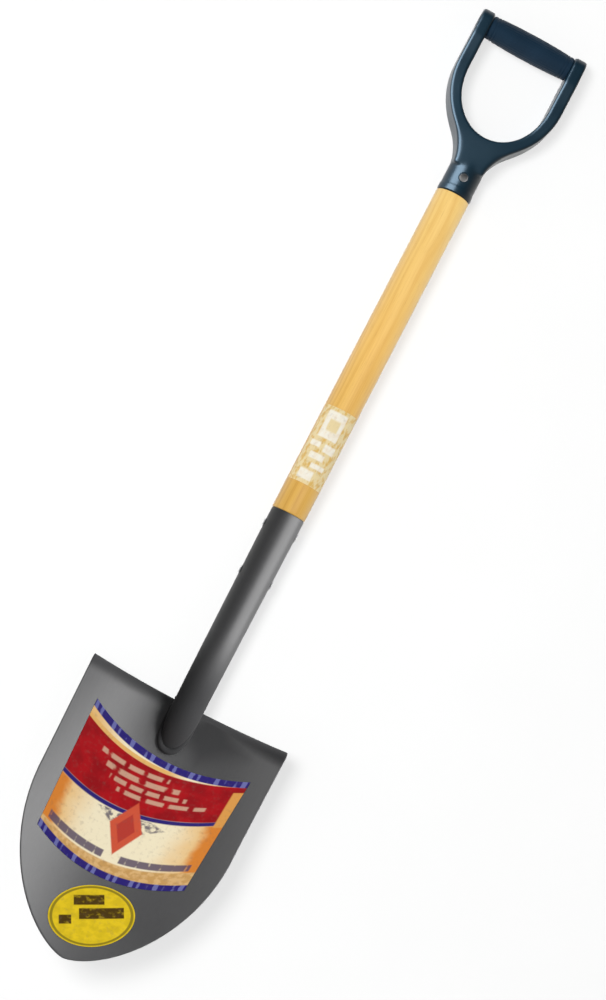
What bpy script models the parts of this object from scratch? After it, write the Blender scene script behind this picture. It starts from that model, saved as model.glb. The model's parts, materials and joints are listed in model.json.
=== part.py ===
"""Round point digging shovel with an ash shaft and a D-grip, lying on its back.

Metres, +Z up.  The shaft's axis runs along +Y from the blade to the grip, and
the blade's hollow faces up.  Positions below are measured from the middle of
the blade's stepped top edge, on the shaft's axis (y = 0, z = 0); the empty
named stance then drops the whole tool onto the ground plane.
"""

import math

import bmesh
import bpy
from mathutils import Matrix, Vector

# ---- Blade: pressed sheet, dished across and curved along its length ----
STEP_HALF_WIDTH = 0.1121
BLADE_HALF_WIDTH = 0.1098
BLADE_LENGTH = 0.290
BLADE_SHEET = 0.0021
SIDE_LENGTH = 0.124
POINT_FULLNESS = 2.04
POINT_SHARPNESS = 0.653
DISH_RADIUS_TOP = 0.188
DISH_RADIUS_TIP = 0.300
LIFT_AT_STEP = math.radians(6.0)
LIFT_AT_TIP = math.radians(21.0)
STEP_ROLL_RADIUS = 0.0075
STEP_DEPTH = 0.0165
STEP_FADE = 0.40
NOTCH_HALF_WIDTH = 0.0125
BLADE_COLUMNS = 32
BLADE_ROWS = 18
ROLL_ROWS = 4

# ---- Steel shank: tapered tube, cranked at the foot, its nose let into the blade ----
SOCKET_MOUTH_Y = 0.2245
SOCKET_MOUTH_RADIUS = 0.0186
SHANK_FOOT_RADIUS = 0.0168
SHANK_WALL = 0.0019
CRANK_LENGTH = 0.080
SHANK_OVER_BLADE = 0.0135
NOSE_LENGTH = 0.050
BORE_FLOOR_Y = 0.034
SHANK_SIDES = 28

# ---- Ash shaft ----
SHAFT_RADIUS = 0.0190
FERRULE_MOUTH_Y = 0.6085
TENON_RADIUS = 0.0160
TENON_LENGTH = 0.050
SHAFT_SIDES = 32

# ---- D-grip: moulded yoke with a ferrule, and a crossbar on a through bolt ----
GRIP_TOP_Y = 0.8070
FERRULE_RADIUS = 0.0188
FERRULE_RIM_RADIUS = 0.0194
FERRULE_BORE_RADIUS = 0.0163
FERRULE_TOP_Y = 0.6495
YOKE_HALF_DEPTH = 0.0180
YOKE_HALF_WIDTH = 0.0630
ARM_EDGE_RADIUS = 0.0042
HAND_HALF_WIDTH = 0.0488
HAND_FLOOR_Y = 0.6775
HAND_CENTRE_Y = 0.738
NECK_HALF_WIDTH = 0.0180
NECK_Y = 0.6385
BOSS_TAPER = math.radians(8)
CROSSBAR_Y = 0.7918
CROSSBAR_END_RADIUS = 0.0130
CROSSBAR_MIDDLE_RADIUS = 0.0146
BOLT_RADIUS = 0.0040
BOLT_HEAD_RADIUS = 0.0072
BOLT_HEAD_HEIGHT = 0.0032
COUNTERBORE_RADIUS = 0.0080
COUNTERBORE_DEPTH = 0.0045
STUB_LENGTH = 0.0014

# ---- Rivets and welds ----
RIVET_RADIUS = 0.0026
RIVET_HEAD_RADIUS = 0.0046
FERRULE_RIVET_CROWN = 0.0022
SOCKET_RIVET_CROWN = 0.0007
SOCKET_RIVETS_Y = (0.206, 0.150)
FERRULE_RIVET_Y = 0.6275
SPOT_FACE_RADIUS = 0.0058
WELD_RADIUS = 0.0034
STEP_WELD_RADIUS = 0.0024

# ---- Stickers: printed film, on the blade and round the shaft ----
FILM = 0.0003
LABEL_TOP_HALF_WIDTH = 0.0905
LABEL_FOOT_HALF_WIDTH = 0.0822
LABEL_TOP_S = 0.0415
LABEL_FOOT_S = 0.1790
LABEL_SAG = 0.0205
LABEL_FOOT_SLANT = 0.0060
LABEL_TURN = math.radians(1.5)
OVAL_CENTRE_X = 0.0075
OVAL_CENTRE_S = 0.2390
OVAL_HALF_LENGTH = 0.0445
OVAL_HALF_HEIGHT = 0.0315
OVAL_TURN = math.radians(27.0)
WRAP_LOW_Y = 0.2590
WRAP_HIGH_Y = 0.3465
WRAP_FROM = math.radians(20.0)
WRAP_TO = math.radians(160.0)

GAP = 0.0003
CUT = 0.004
ROUND_STEPS = 24

COLLECTION = bpy.data.collections.new("round_point_shovel")
CUTTERS = bpy.data.collections.new("cutters")


def clear_scene():
    for obj in list(bpy.data.objects):
        bpy.data.objects.remove(obj)
    bpy.context.scene.collection.children.link(COLLECTION)
    bpy.context.scene.collection.children.link(CUTTERS)


def material(name, colour, roughness, metallic=0.0):
    made = bpy.data.materials.new(name)
    made.use_nodes = True
    shader = made.node_tree.nodes["Principled BSDF"]
    shader.inputs["Base Color"].default_value = (*colour, 1.0)
    shader.inputs["Roughness"].default_value = roughness
    shader.inputs["Metallic"].default_value = metallic
    return made


# ---------------------------------------------------------------- curves of the object


def blade_lift(s):
    """Slope of the blade's centre line at a distance s from the step."""
    return LIFT_AT_STEP + (LIFT_AT_TIP - LIFT_AT_STEP) * s / BLADE_LENGTH


def crank_foot():
    """Where the shank's axis meets the step, after an arc that turns it by the blade's lift."""
    radius = CRANK_LENGTH / LIFT_AT_STEP
    return Vector((0, 0, radius * (1 - math.cos(LIFT_AT_STEP))))


def blade_centre(s):
    """Centre line of the sheet: an arc of constant curvature in the YZ plane."""
    bend = (LIFT_AT_TIP - LIFT_AT_STEP) / BLADE_LENGTH
    start, here = LIFT_AT_STEP, blade_lift(s)
    along = (math.sin(here) - math.sin(start)) / bend
    up = (math.cos(start) - math.cos(here)) / bend
    return crank_foot() - face_direction(0) * SHANK_OVER_BLADE + Vector((0, -along, up))


def face_direction(s):
    """Unit vector out of the blade's face on its centre line."""
    return Vector((0, math.sin(blade_lift(s)), math.cos(blade_lift(s))))


def tip_direction(s):
    """Unit vector along the centre line, towards the tip."""
    return Vector((0, -math.cos(blade_lift(s)), math.sin(blade_lift(s))))


def blade_point(x, s, lift=0.0):
    """A point of the sheet's middle surface, raised by lift along its normal."""
    radius = DISH_RADIUS_TOP + (DISH_RADIUS_TIP - DISH_RADIUS_TOP) * s / BLADE_LENGTH
    level = math.sqrt(radius**2 - x**2)
    across = Vector((1, 0, 0))
    face = face_direction(s)
    normal = (face * level - across * x) / radius
    return blade_centre(s) + across * x + face * (radius - level) + normal * lift


def point_half_width(share):
    """Half the blade's width at a share of the way from its straight sides to its tip."""
    return BLADE_HALF_WIDTH * (1 - share**POINT_FULLNESS) ** POINT_SHARPNESS


def blade_foot(turn):
    """The rounded point's outline as (x, s), for turn from 0 at one side to 1 at the other."""
    angle = math.pi * turn
    share = math.sin(angle) ** 1.15
    x = -math.copysign(point_half_width(min(share, 1.0)), math.cos(angle))
    if abs(turn - 0.5) < 1e-9:
        x = 0.0
    return x, SIDE_LENGTH + (BLADE_LENGTH - SIDE_LENGTH) * share


def step_depth(x):
    """How far the turned step reaches behind the sheet: less towards the corners."""
    return STEP_DEPTH * (1 - STEP_FADE * (x / STEP_HALF_WIDTH) ** 2)


def shank_radius(y):
    """Outside radius of the tube between its mouth and the step."""
    share = (SOCKET_MOUTH_Y - y) / SOCKET_MOUTH_Y
    return SOCKET_MOUTH_RADIUS + (SHANK_FOOT_RADIUS - SOCKET_MOUTH_RADIUS) * share


def bezier(start, start_pull, end_pull, end, steps):
    """Points of a cubic curve after its start, up to and with its end."""
    points = []
    for k in range(1, steps + 1):
        t = k / steps
        a, b, c, d = (1 - t) ** 3, 3 * t * (1 - t) ** 2, 3 * t**2 * (1 - t), t**3
        points.append(
            (
                a * start[0] + b * start_pull[0] + c * end_pull[0] + d * end[0],
                a * start[1] + b * start_pull[1] + c * end_pull[1] + d * end[1],
            )
        )
    return points


# ---------------------------------------------------------------- ways of making a solid


def place(obj, looks=None, collection=COLLECTION):
    collection.objects.link(obj)
    obj.parent = STANCE
    if looks is not None:
        obj.data.materials.append(looks)
    if collection is CUTTERS:
        obj.hide_render = True
        obj.display_type = "WIRE"
    return obj


def mesh_object(name, points, faces):
    mesh = bpy.data.meshes.new(name)
    mesh.from_pydata([tuple(p) for p in points], [], faces)
    mesh.update()
    return bpy.data.objects.new(name, mesh)


def smooth(obj, angle=math.radians(35)):
    obj.data.shade_smooth()
    obj.data.set_sharp_from_angle(angle=angle)
    return obj


def loft(name, rings):
    """A closed solid through rings of equal count, with flat ends."""
    count = len(rings[0])
    points = [p for ring in rings for p in ring]
    faces = [list(range(count))[::-1]]
    for r in range(len(rings) - 1):
        for k in range(count):
            low, high = r * count, (r + 1) * count
            after = (k + 1) % count
            faces.append([low + k, low + after, high + after, high + k])
    faces.append([(len(rings) - 1) * count + k for k in range(count)])
    obj = mesh_object(name, points, faces)
    outward(obj)
    return obj


def outward(obj):
    """Turns every face of a closed mesh outwards."""
    repair = bmesh.new()
    repair.from_mesh(obj.data)
    bmesh.ops.recalc_face_normals(repair, faces=repair.faces)
    repair.to_mesh(obj.data)
    repair.free()


def turned(name, profile, axis, at, steps=ROUND_STEPS):
    """A solid turned about X, Y or Z through at.  The profile is (radius, height), top of the axis first."""
    mesh = bpy.data.meshes.new(name)
    closed = profile[0] == profile[-1]
    points = [(radius, 0.0, height) for radius, height in (profile[1:] if closed else profile)]
    edges = [(k, k + 1) for k in range(len(points) - 1)]
    if closed:
        edges.append((len(points) - 1, 0))
    mesh.from_pydata(points, edges, [])
    obj = bpy.data.objects.new(name, mesh)
    screw = obj.modifiers.new("turn", "SCREW")
    screw.steps = steps
    screw.render_steps = steps
    screw.use_merge_vertices = True
    screw.merge_threshold = 0.00005
    screw.use_smooth_shade = False
    turns = {
        "X": Matrix.Rotation(math.radians(90), 4, "Y"),
        "Y": Matrix.Rotation(math.radians(-90), 4, "X"),
        "Z": Matrix.Identity(4),
    }
    obj.rotation_euler = turns[axis].to_euler()
    obj.location = at
    return obj


def rod(name, axis, at, radius, low, high, steps=ROUND_STEPS):
    """A plain cylinder from low to high along its axis."""
    return turned(name, [(0, high), (radius, high), (radius, low), (0, low)], axis, at, steps)


def grid_solid(name, columns, rows, surface, thickness):
    """An open sheet, surface(u, v) for u and v from 0 to 1, thickened on its own middle."""
    points = [
        surface(i / columns, j / rows) for j in range(rows + 1) for i in range(columns + 1)
    ]
    wide = columns + 1
    faces = [
        (j * wide + i, (j + 1) * wide + i, (j + 1) * wide + i + 1, j * wide + i + 1)
        for j in range(rows)
        for i in range(columns)
    ]
    obj = mesh_object(name, points, faces)
    thicken(obj, thickness)
    return obj


def thicken(obj, thickness):
    solid = obj.modifiers.new("sheet", "SOLIDIFY")
    solid.thickness = thickness
    solid.offset = 0.0
    solid.use_even_offset = True


def combine(obj, other, operation, name, solver="EXACT"):
    cut = obj.modifiers.new(name, "BOOLEAN")
    cut.operation = operation
    cut.solver = solver
    cut.object = other
    return obj


def cut_with(obj, cutter, solver="EXACT"):
    if cutter.name not in CUTTERS.objects:
        place(cutter, collection=CUTTERS)
    return combine(obj, cutter, "DIFFERENCE", "cut " + cutter.name, solver)


def outline_solid(name, outline, half_depth):
    """A flat closed outline in XY, thickened along Z by half_depth each way, as a mesh."""
    curve = bpy.data.curves.new(name + "_outline", "CURVE")
    curve.dimensions = "2D"
    curve.fill_mode = "BOTH"
    curve.extrude = half_depth
    spline = curve.splines.new("POLY")
    spline.points.add(len(outline) - 1)
    for point, (x, y) in zip(spline.points, outline):
        point.co = (x, y, 0, 1)
    spline.use_cyclic_u = True
    return curve_to_mesh(name, curve)


def wire_solid(name, points, radius):
    """A round wire along points, with closed ends, as a mesh."""
    curve = bpy.data.curves.new(name + "_line", "CURVE")
    curve.dimensions = "3D"
    curve.bevel_depth = radius
    curve.bevel_resolution = 2
    curve.use_fill_caps = True
    spline = curve.splines.new("POLY")
    spline.points.add(len(points) - 1)
    for point, place_of in zip(spline.points, points):
        point.co = (*place_of, 1)
    return curve_to_mesh(name, curve)


def curve_to_mesh(name, curve):
    guide = bpy.data.objects.new(name + "_guide", curve)
    bpy.context.scene.collection.objects.link(guide)
    graph = bpy.context.evaluated_depsgraph_get()
    mesh = bpy.data.meshes.new_from_object(guide.evaluated_get(graph))
    bpy.data.objects.remove(guide)
    weld = bmesh.new()
    weld.from_mesh(mesh)
    bmesh.ops.remove_doubles(weld, verts=weld.verts, dist=0.00001)
    bmesh.ops.recalc_face_normals(weld, faces=weld.faces)
    weld.to_mesh(mesh)
    weld.free()
    mesh.name = name
    return bpy.data.objects.new(name, mesh)


# ---------------------------------------------------------------- steel


def blade_sheet(name, thickness):
    """The dished sheet with its top edge turned back over a roll."""
    columns, rows = BLADE_COLUMNS, BLADE_ROWS
    points = []
    for j in range(ROLL_ROWS + 1, 0, -1):
        for i in range(columns + 1):
            x = STEP_HALF_WIDTH * (2 * i / columns - 1)
            points.append(roll_point(x, j))
    for j in range(rows + 1):
        for i in range(columns + 1):
            x = STEP_HALF_WIDTH * (2 * i / columns - 1)
            foot_x, foot_s = blade_foot(i / columns)
            down = (j / rows) ** 0.92
            s = STEP_ROLL_RADIUS + (foot_s - STEP_ROLL_RADIUS) * down
            points.append(blade_point(x + (foot_x - x) * down, s))
    wide = columns + 1
    count = len(points) // wide
    faces = [
        (j * wide + i, (j + 1) * wide + i, (j + 1) * wide + i + 1, j * wide + i + 1)
        for j in range(count - 1)
        for i in range(columns)
    ]
    obj = mesh_object(name, points, faces)
    thicken(obj, thickness)
    return obj


def roll_point(x, step):
    """A point round the turned step: step 1 to ROLL_ROWS round the roll, then the flange's edge."""
    start = blade_point(x, STEP_ROLL_RADIUS)
    back, up = -face_direction(0), -tip_direction(0)
    turn = math.radians(90) * min(step, ROLL_ROWS) / ROLL_ROWS
    around = up * math.sin(turn) + back * (1 - math.cos(turn))
    point = start + around * STEP_ROLL_RADIUS
    if step > ROLL_ROWS:
        point += back * (step_depth(x) - STEP_ROLL_RADIUS)
    return point


def shank_solid(name, grow):
    """The tube's outside, from its mouth to its rounded nose on the blade, as a full solid."""
    rings = []
    mouth = SOCKET_MOUTH_Y + grow
    for y in (mouth, SOCKET_MOUTH_Y * 0.62, CRANK_LENGTH):
        rings.append(shank_ring(Vector((0, y, 0)), 0, shank_radius(y), shank_radius(y), grow))
    radius = CRANK_LENGTH / LIFT_AT_STEP
    crank_rings = 6
    for k in range(1, crank_rings + 1):
        turn = LIFT_AT_STEP * k / crank_rings
        y = radius * (math.sin(LIFT_AT_STEP) - math.sin(turn))
        z = radius * (1 - math.cos(turn))
        round_here = shank_radius(y)
        rings.append(shank_ring(Vector((0, y, z)), turn, round_here, round_here, grow))
    nose_rings = 9
    for k in range(1, nose_rings + 1):
        share = math.sin(math.radians(90) * k / nose_rings) * 0.985
        rings.append(nose_ring(share, grow))
    return loft(name, rings)


def shank_ring(centre, turn, half_width, half_height, grow):
    up = Vector((0, math.sin(turn), math.cos(turn)))
    across = Vector((1, 0, 0))
    ring = []
    for k in range(SHANK_SIDES):
        angle = 2 * math.pi * k / SHANK_SIDES
        ring.append(
            centre
            + across * math.cos(angle) * (half_width + grow)
            + up * math.sin(angle) * (half_height + grow)
        )
    return ring


def nose_ring(share, grow):
    """A section of the nose, which narrows to a rounded end and sinks into the sheet."""
    s = (NOSE_LENGTH + 2 * grow) * share
    front, behind, half_width = nose_size(share)
    centre = blade_centre(s) + face_direction(s) * (front - behind) / 2
    return shank_ring(centre, blade_lift(s), half_width, (front + behind) / 2, grow)


def nose_size(share):
    """The nose's reach in front of the sheet, behind it, and its half width."""
    front = (SHANK_OVER_BLADE + SHANK_FOOT_RADIUS) * (1 - share**2) ** 0.80 + 0.0010 * share
    behind = (SHANK_FOOT_RADIUS - SHANK_OVER_BLADE) * (1 - share**2) ** 0.5 + 0.0010 * share
    return front, behind, SHANK_FOOT_RADIUS * (1 - share**2.6) ** 0.5


def socket_bore():
    """The tapered hole that the shaft is driven into."""
    deep = shank_radius(BORE_FLOOR_Y) - SHANK_WALL
    wide = shank_radius(SOCKET_MOUTH_Y) - SHANK_WALL
    top, floor = SOCKET_MOUTH_Y + CUT, BORE_FLOOR_Y
    profile = [(0, top), (wide, top), (wide, SOCKET_MOUTH_Y), (deep, floor), (0, floor)]
    return turned("socket_bore", profile, "Y", (0, 0, 0), SHANK_SIDES)


def face_weld_line():
    """Along both sides of the shank's foot and round its nose, where it meets the blade's face."""
    height = BLADE_SHEET / 2 + WELD_RADIUS * 0.45
    spread = WELD_RADIUS * 0.45
    line = []
    for turn in range(-8, 9):
        share = math.cos(math.radians(90) * turn / 8)
        s = 0.004 + (NOSE_LENGTH + spread - 0.004) * share
        beside = nose_section(min(share, 1.0) * 0.985, height) + spread * (1 - share**4)
        line.append(blade_point(beside * (turn > 0) - beside * (turn < 0), s, height))
    return line


def nose_section(share, height):
    """Half the nose's width at a height over the sheet."""
    front, behind, half_width = nose_size(share)
    middle, reach = (front - behind) / 2, (front + behind) / 2
    level = max(-1.0, min(1.0, (height - middle) / reach))
    return half_width * math.sqrt(1 - level**2)


def step_weld_line(side):
    """Where one side of the shank passes the step's notch, down to the notch's edge."""
    radius = SHANK_FOOT_RADIUS + STEP_WELD_RADIUS * 0.45
    centre = crank_foot() - tip_direction(0) * (BLADE_SHEET / 2 + STEP_WELD_RADIUS * 0.45)
    line = []
    for k in range(7):
        angle = math.radians(-16 - 30 * k / 6)
        across = Vector((side * math.cos(angle) * radius, 0, 0))
        line.append(centre + across + face_direction(0) * math.sin(angle) * radius)
    return line


def step_notch():
    """The opening in the turned step, under the shank."""
    middle = crank_foot() - face_direction(0) * 0.030
    corners = [
        middle + Vector((x, 0, 0)) + tip_direction(0) * along + face_direction(0) * up
        for x in (-NOTCH_HALF_WIDTH, NOTCH_HALF_WIDTH)
        for along in (-0.010, STEP_ROLL_RADIUS * 0.6)
        for up in (-0.015, 0.018)
    ]
    faces = [(0, 1, 3, 2), (4, 6, 7, 5), (0, 4, 5, 1), (2, 3, 7, 6), (0, 2, 6, 4), (1, 5, 7, 3)]
    notch = mesh_object("step_notch", corners, faces)
    outward(notch)
    return notch


def weld_bead(name, line, radius, looks, cutters):
    bead = place(smooth(wire_solid(name, line, radius)), looks)
    for cutter in cutters:
        cut_with(bead, cutter, "MANIFOLD")


def make_steel(paint, bright):
    blade = place(smooth(blade_sheet("blade", BLADE_SHEET)), paint)
    shank_clearance = shank_solid("shank_clearance", GAP)
    cut_with(blade, shank_clearance, "MANIFOLD")
    cut_with(blade, step_notch(), "MANIFOLD")

    shank = place(smooth(shank_solid("shank_socket", 0.0)), paint)
    cut_with(shank, socket_bore())

    sheet_clearance = blade_sheet("sheet_clearance", BLADE_SHEET + 2 * GAP)
    room = (shank_clearance, sheet_clearance)
    weld_bead("face_weld_bead", face_weld_line(), WELD_RADIUS, paint, room)
    weld_bead("left_step_weld", step_weld_line(-1), STEP_WELD_RADIUS, paint, room)
    weld_bead("right_step_weld", step_weld_line(1), STEP_WELD_RADIUS, paint, room)

    for number, y in enumerate(SOCKET_RIVETS_Y, 1):
        reach = shank_radius(y) + 0.0002
        name = f"socket_rivet_{number}"
        place(smooth(rivet(name, "X", (0, y, 0), reach, reach, SOCKET_RIVET_CROWN)), bright)
        hole = rod(name + "_hole", "X", (0, y, 0), RIVET_RADIUS + GAP, -reach - CUT, reach + CUT)
        cut_with(shank, hole)
    return shank


def rivet(name, axis, at, front, behind, crown):
    """A rivet with domed heads; front and behind are how far its heads sit from the axis."""
    profile = dome(front + GAP, crown, 1)
    profile += [(RIVET_RADIUS, front + GAP), (RIVET_RADIUS, -behind - GAP)]
    profile += dome(behind + GAP, crown, -1)
    return turned(name, profile, axis, at, 16)


def dome(base, crown, side):
    """A domed head's profile: from its crown to its rim at the top, the other way at the foot."""
    points = []
    for k in range(5):
        angle = math.radians(90) * k / 4
        radius, height = RIVET_HEAD_RADIUS * math.sin(angle), crown * math.cos(angle)
        points.append((radius, side * (base + height)))
    return points if side > 0 else points[::-1]


# ---------------------------------------------------------------- wood


def shaft_profile():
    """(radius, height) down the shaft: the grip's tenon, the held length, the socket's tenon."""
    top = FERRULE_MOUTH_Y + TENON_LENGTH
    shoulder = SOCKET_MOUTH_Y + GAP
    low = BORE_FLOOR_Y + 0.006
    mouth_fit = SOCKET_MOUTH_RADIUS - SHANK_WALL - GAP
    low_fit = shank_radius(low) - SHANK_WALL - GAP
    chamfer = 0.0015
    return [
        (0, top),
        (TENON_RADIUS - chamfer, top),
        (TENON_RADIUS, top - chamfer),
        (TENON_RADIUS, FERRULE_MOUTH_Y - GAP),
        (SHAFT_RADIUS - 0.0006, FERRULE_MOUTH_Y - GAP),
        (SHAFT_RADIUS, FERRULE_MOUTH_Y - chamfer),
        (SHAFT_RADIUS, shoulder + chamfer),
        (SHAFT_RADIUS - 0.0004, shoulder),
        (mouth_fit, shoulder),
        (mouth_fit, SOCKET_MOUTH_Y - 0.001),
        (low_fit, low + chamfer),
        (low_fit - chamfer, low),
        (0, low),
    ]


def make_shaft(wood):
    shaft = place(smooth(turned("ash_shaft", shaft_profile(), "Y", (0, 0, 0), SHAFT_SIDES)), wood)
    for number, y in enumerate(SOCKET_RIVETS_Y, 1):
        hole = bpy.data.objects[f"socket_rivet_{number}_hole"]
        combine(shaft, hole, "DIFFERENCE", f"rivet hole {number}")
    return shaft


# ---------------------------------------------------------------- grip


def yoke_outline():
    """The yoke's outline: up the outside of one arm, past its boss, down the hand hole, and back."""
    side = []
    side += [(NECK_HALF_WIDTH, NECK_Y)]
    crotch = (0.0352, 0.6765)
    side += bezier(side[-1], (NECK_HALF_WIDTH, 0.652), (0.0265, 0.667), crotch, 6)
    shoulder = (YOKE_HALF_WIDTH, HAND_CENTRE_Y + 0.003)
    side += bezier(crotch, (0.0448, 0.6868), (YOKE_HALF_WIDTH, 0.7075), shoulder, 9)
    side += [(YOKE_HALF_WIDTH, GRIP_TOP_Y + CUT), (HAND_HALF_WIDTH, GRIP_TOP_Y + CUT)]
    drop = HAND_CENTRE_Y - HAND_FLOOR_Y
    for k in range(0, 10):
        angle = math.radians(90) * k / 10
        side.append(
            (HAND_HALF_WIDTH * math.cos(angle), HAND_CENTRE_Y - drop * math.sin(angle))
        )
    mirrored = [(-x, y) for x, y in reversed(side)]
    return side + [(0.0, HAND_FLOOR_Y)] + mirrored


def ferrule():
    """The grip's turned socket, with a thicker rim at its mouth."""
    low, top = FERRULE_MOUTH_Y, FERRULE_TOP_Y
    rim, wall = FERRULE_RIM_RADIUS, FERRULE_RADIUS
    profile = [
        (0, top + 0.010),
        (wall * 0.55, top + 0.008),
        (wall * 0.88, top + 0.001),
        (wall, top - 0.008),
        (wall, low + 0.0085),
        (rim, low + 0.0070),
        (rim, low + 0.0008),
        (rim - 0.0008, low),
        (0, low),
    ]
    return turned("ferrule_body", profile, "Y", (0, 0, 0), SHAFT_SIDES)


def boss_line(depth):
    """Where the taper below a boss is at this depth in front of the axis."""
    radius = GRIP_TOP_Y - CROSSBAR_Y
    run = (depth - radius * math.cos(BOSS_TAPER)) / math.sin(BOSS_TAPER)
    return CROSSBAR_Y + radius * math.sin(BOSS_TAPER) - run * math.cos(BOSS_TAPER)


def side_profile():
    """The yoke's room seen from its side: open below, then tapered to a boss round the crossbar."""
    wide = YOKE_HALF_DEPTH + CUT
    radius = GRIP_TOP_Y - CROSSBAR_Y
    front = [(FERRULE_MOUTH_Y - CUT, wide), (boss_line(wide), wide)]
    for k in range(8):
        angle = BOSS_TAPER + (math.radians(90) - BOSS_TAPER) * k / 7
        front.append((CROSSBAR_Y + radius * math.sin(angle), radius * math.cos(angle)))
    profile = front[:-1] + [(GRIP_TOP_Y, 0.0)] + [(y, -z) for y, z in reversed(front[:-1])]
    far = YOKE_HALF_WIDTH + CUT
    rings = [[Vector((x, y, z)) for y, z in profile] for x in (-far, far)]
    return loft("side_profile", rings)


def make_yoke(plastic):
    yoke = smooth(outline_solid("grip_yoke", yoke_outline(), YOKE_HALF_DEPTH))
    room = place(side_profile(), collection=CUTTERS)
    combine(yoke, room, "INTERSECT", "rounded bosses", "MANIFOLD")
    edges = yoke.modifiers.new("rounded edges", "BEVEL")
    edges.width = ARM_EDGE_RADIUS
    edges.segments = 3
    edges.limit_method = "ANGLE"
    edges.angle_limit = math.radians(50)
    place(yoke, plastic)
    body = place(ferrule(), collection=CUTTERS)
    combine(yoke, body, "UNION", "ferrule", "MANIFOLD")

    bore_top = FERRULE_MOUTH_Y + TENON_LENGTH + 0.001
    bore = rod("ferrule_bore", "Y", (0, 0, 0), FERRULE_BORE_RADIUS, FERRULE_MOUTH_Y - CUT, bore_top)
    cut_with(yoke, bore, "MANIFOLD")
    at = (0, CROSSBAR_Y, 0)
    far = YOKE_HALF_WIDTH + CUT
    floor = YOKE_HALF_WIDTH - COUNTERBORE_DEPTH
    for cutter in (
        rod("bolt_hole", "X", at, BOLT_RADIUS + GAP, -far, far, 16),
        rod("head_pocket", "X", at, COUNTERBORE_RADIUS, floor, far),
        rod("nut_pocket", "X", at, COUNTERBORE_RADIUS, -far, -floor),
    ):
        cut_with(yoke, cutter, "MANIFOLD")
    cut_rivet_seats(yoke)


def cut_rivet_seats(yoke):
    """The ferrule rivet's hole, and a flat seat for each of its heads."""
    at = (0, FERRULE_RIVET_Y, 0)
    far = FERRULE_RADIUS + CUT
    front_floor, back_floor = ferrule_rivet_floors()
    hole = rod("ferrule_rivet_hole", "Z", at, RIVET_RADIUS + GAP, -far, far, 16)
    for cutter in (
        hole,
        rod("front_spot_face", "Z", at, SPOT_FACE_RADIUS, front_floor, far, 20),
        rod("back_spot_face", "Z", at, SPOT_FACE_RADIUS, -far, -back_floor, 20),
    ):
        cut_with(yoke, cutter, "MANIFOLD")
    combine(bpy.data.objects["ash_shaft"], hole, "DIFFERENCE", "ferrule rivet hole")


def ferrule_rivet_floors():
    """How far the front and back spot faces lie from the axis."""
    return FERRULE_RADIUS - 0.0010, FERRULE_RADIUS - 0.0024


def crossbar_profile():
    """The sleeve's half section, barrel shaped, open for the bolt."""
    half = HAND_HALF_WIDTH - GAP
    hole = BOLT_RADIUS + GAP
    lip = 0.0012
    outer = []
    for k in range(13):
        share = 2 * k / 12 - 1
        swell = (CROSSBAR_MIDDLE_RADIUS - CROSSBAR_END_RADIUS) * (1 - share**2)
        outer.append((CROSSBAR_END_RADIUS + swell, -share * (half - lip)))
    ends = [(CROSSBAR_END_RADIUS - lip, half)]
    return [(hole, half)] + ends + outer + [(ends[0][0], -half), (hole, -half), (hole, half)]


def make_crossbar(rubber, bright):
    at = (0, CROSSBAR_Y, 0)
    place(smooth(turned("grip_crossbar", crossbar_profile(), "X", at)), rubber)

    seat = YOKE_HALF_WIDTH - COUNTERBORE_DEPTH + GAP
    head_top = seat + BOLT_HEAD_HEIGHT
    nut_face = -seat - GAP
    stub = BOLT_RADIUS * 0.7
    stub_end = nut_face - STUB_LENGTH
    bolt = [
        (0, head_top),
        (BOLT_HEAD_RADIUS * 0.62, head_top),
        (BOLT_HEAD_RADIUS, seat + BOLT_HEAD_HEIGHT * 0.35),
        (BOLT_HEAD_RADIUS, seat),
        (BOLT_RADIUS, seat),
        (BOLT_RADIUS, nut_face + 0.0022),
        (stub, nut_face + 0.0006),
        (stub, stub_end),
        (0, stub_end),
    ]
    place(smooth(turned("crossbar_bolt", bolt, "X", at)), bright)
    nut_top = -seat - BOLT_HEAD_HEIGHT
    nut = [
        (stub + GAP, nut_face),
        (BOLT_HEAD_RADIUS, nut_face),
        (BOLT_HEAD_RADIUS, nut_top + BOLT_HEAD_HEIGHT * 0.4),
        (BOLT_HEAD_RADIUS * 0.62, nut_top),
        (0, nut_top),
        (0, stub_end - GAP),
        (stub + GAP, stub_end - GAP),
        (stub + GAP, nut_face),
    ]
    place(smooth(turned("crossbar_nut", nut, "X", at)), bright)

    front_floor, back_floor = ferrule_rivet_floors()
    at = (0, FERRULE_RIVET_Y, 0)
    pin = rivet("ferrule_rivet", "Z", at, front_floor, back_floor, FERRULE_RIVET_CROWN)
    place(smooth(pin), bright)


# ---------------------------------------------------------------- stickers


def label_surface(u, v):
    """The blade sticker: its sides close in a little, and its top and foot edges sag towards the tip."""
    share = 2 * u - 1
    half = LABEL_TOP_HALF_WIDTH + (LABEL_FOOT_HALF_WIDTH - LABEL_TOP_HALF_WIDTH) * v
    foot = LABEL_FOOT_S - LABEL_FOOT_SLANT * share
    s = LABEL_TOP_S + (foot - LABEL_TOP_S) * v + LABEL_SAG * (1 - share**2)
    x, s = turned_on_blade(half * share, s - middle_of_label(), LABEL_TURN)
    return blade_point(x, s + middle_of_label(), film_height())


def middle_of_label():
    return (LABEL_TOP_S + LABEL_FOOT_S) / 2


def film_height():
    """From the sheet's middle to the film's middle."""
    return BLADE_SHEET / 2 + GAP + FILM / 2


def turned_on_blade(x, s, angle):
    """Turns a point of the flattened blade anticlockwise, as seen from its face with the tip down."""
    return x * math.cos(angle) - s * math.sin(angle), s * math.cos(angle) + x * math.sin(angle)


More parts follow.
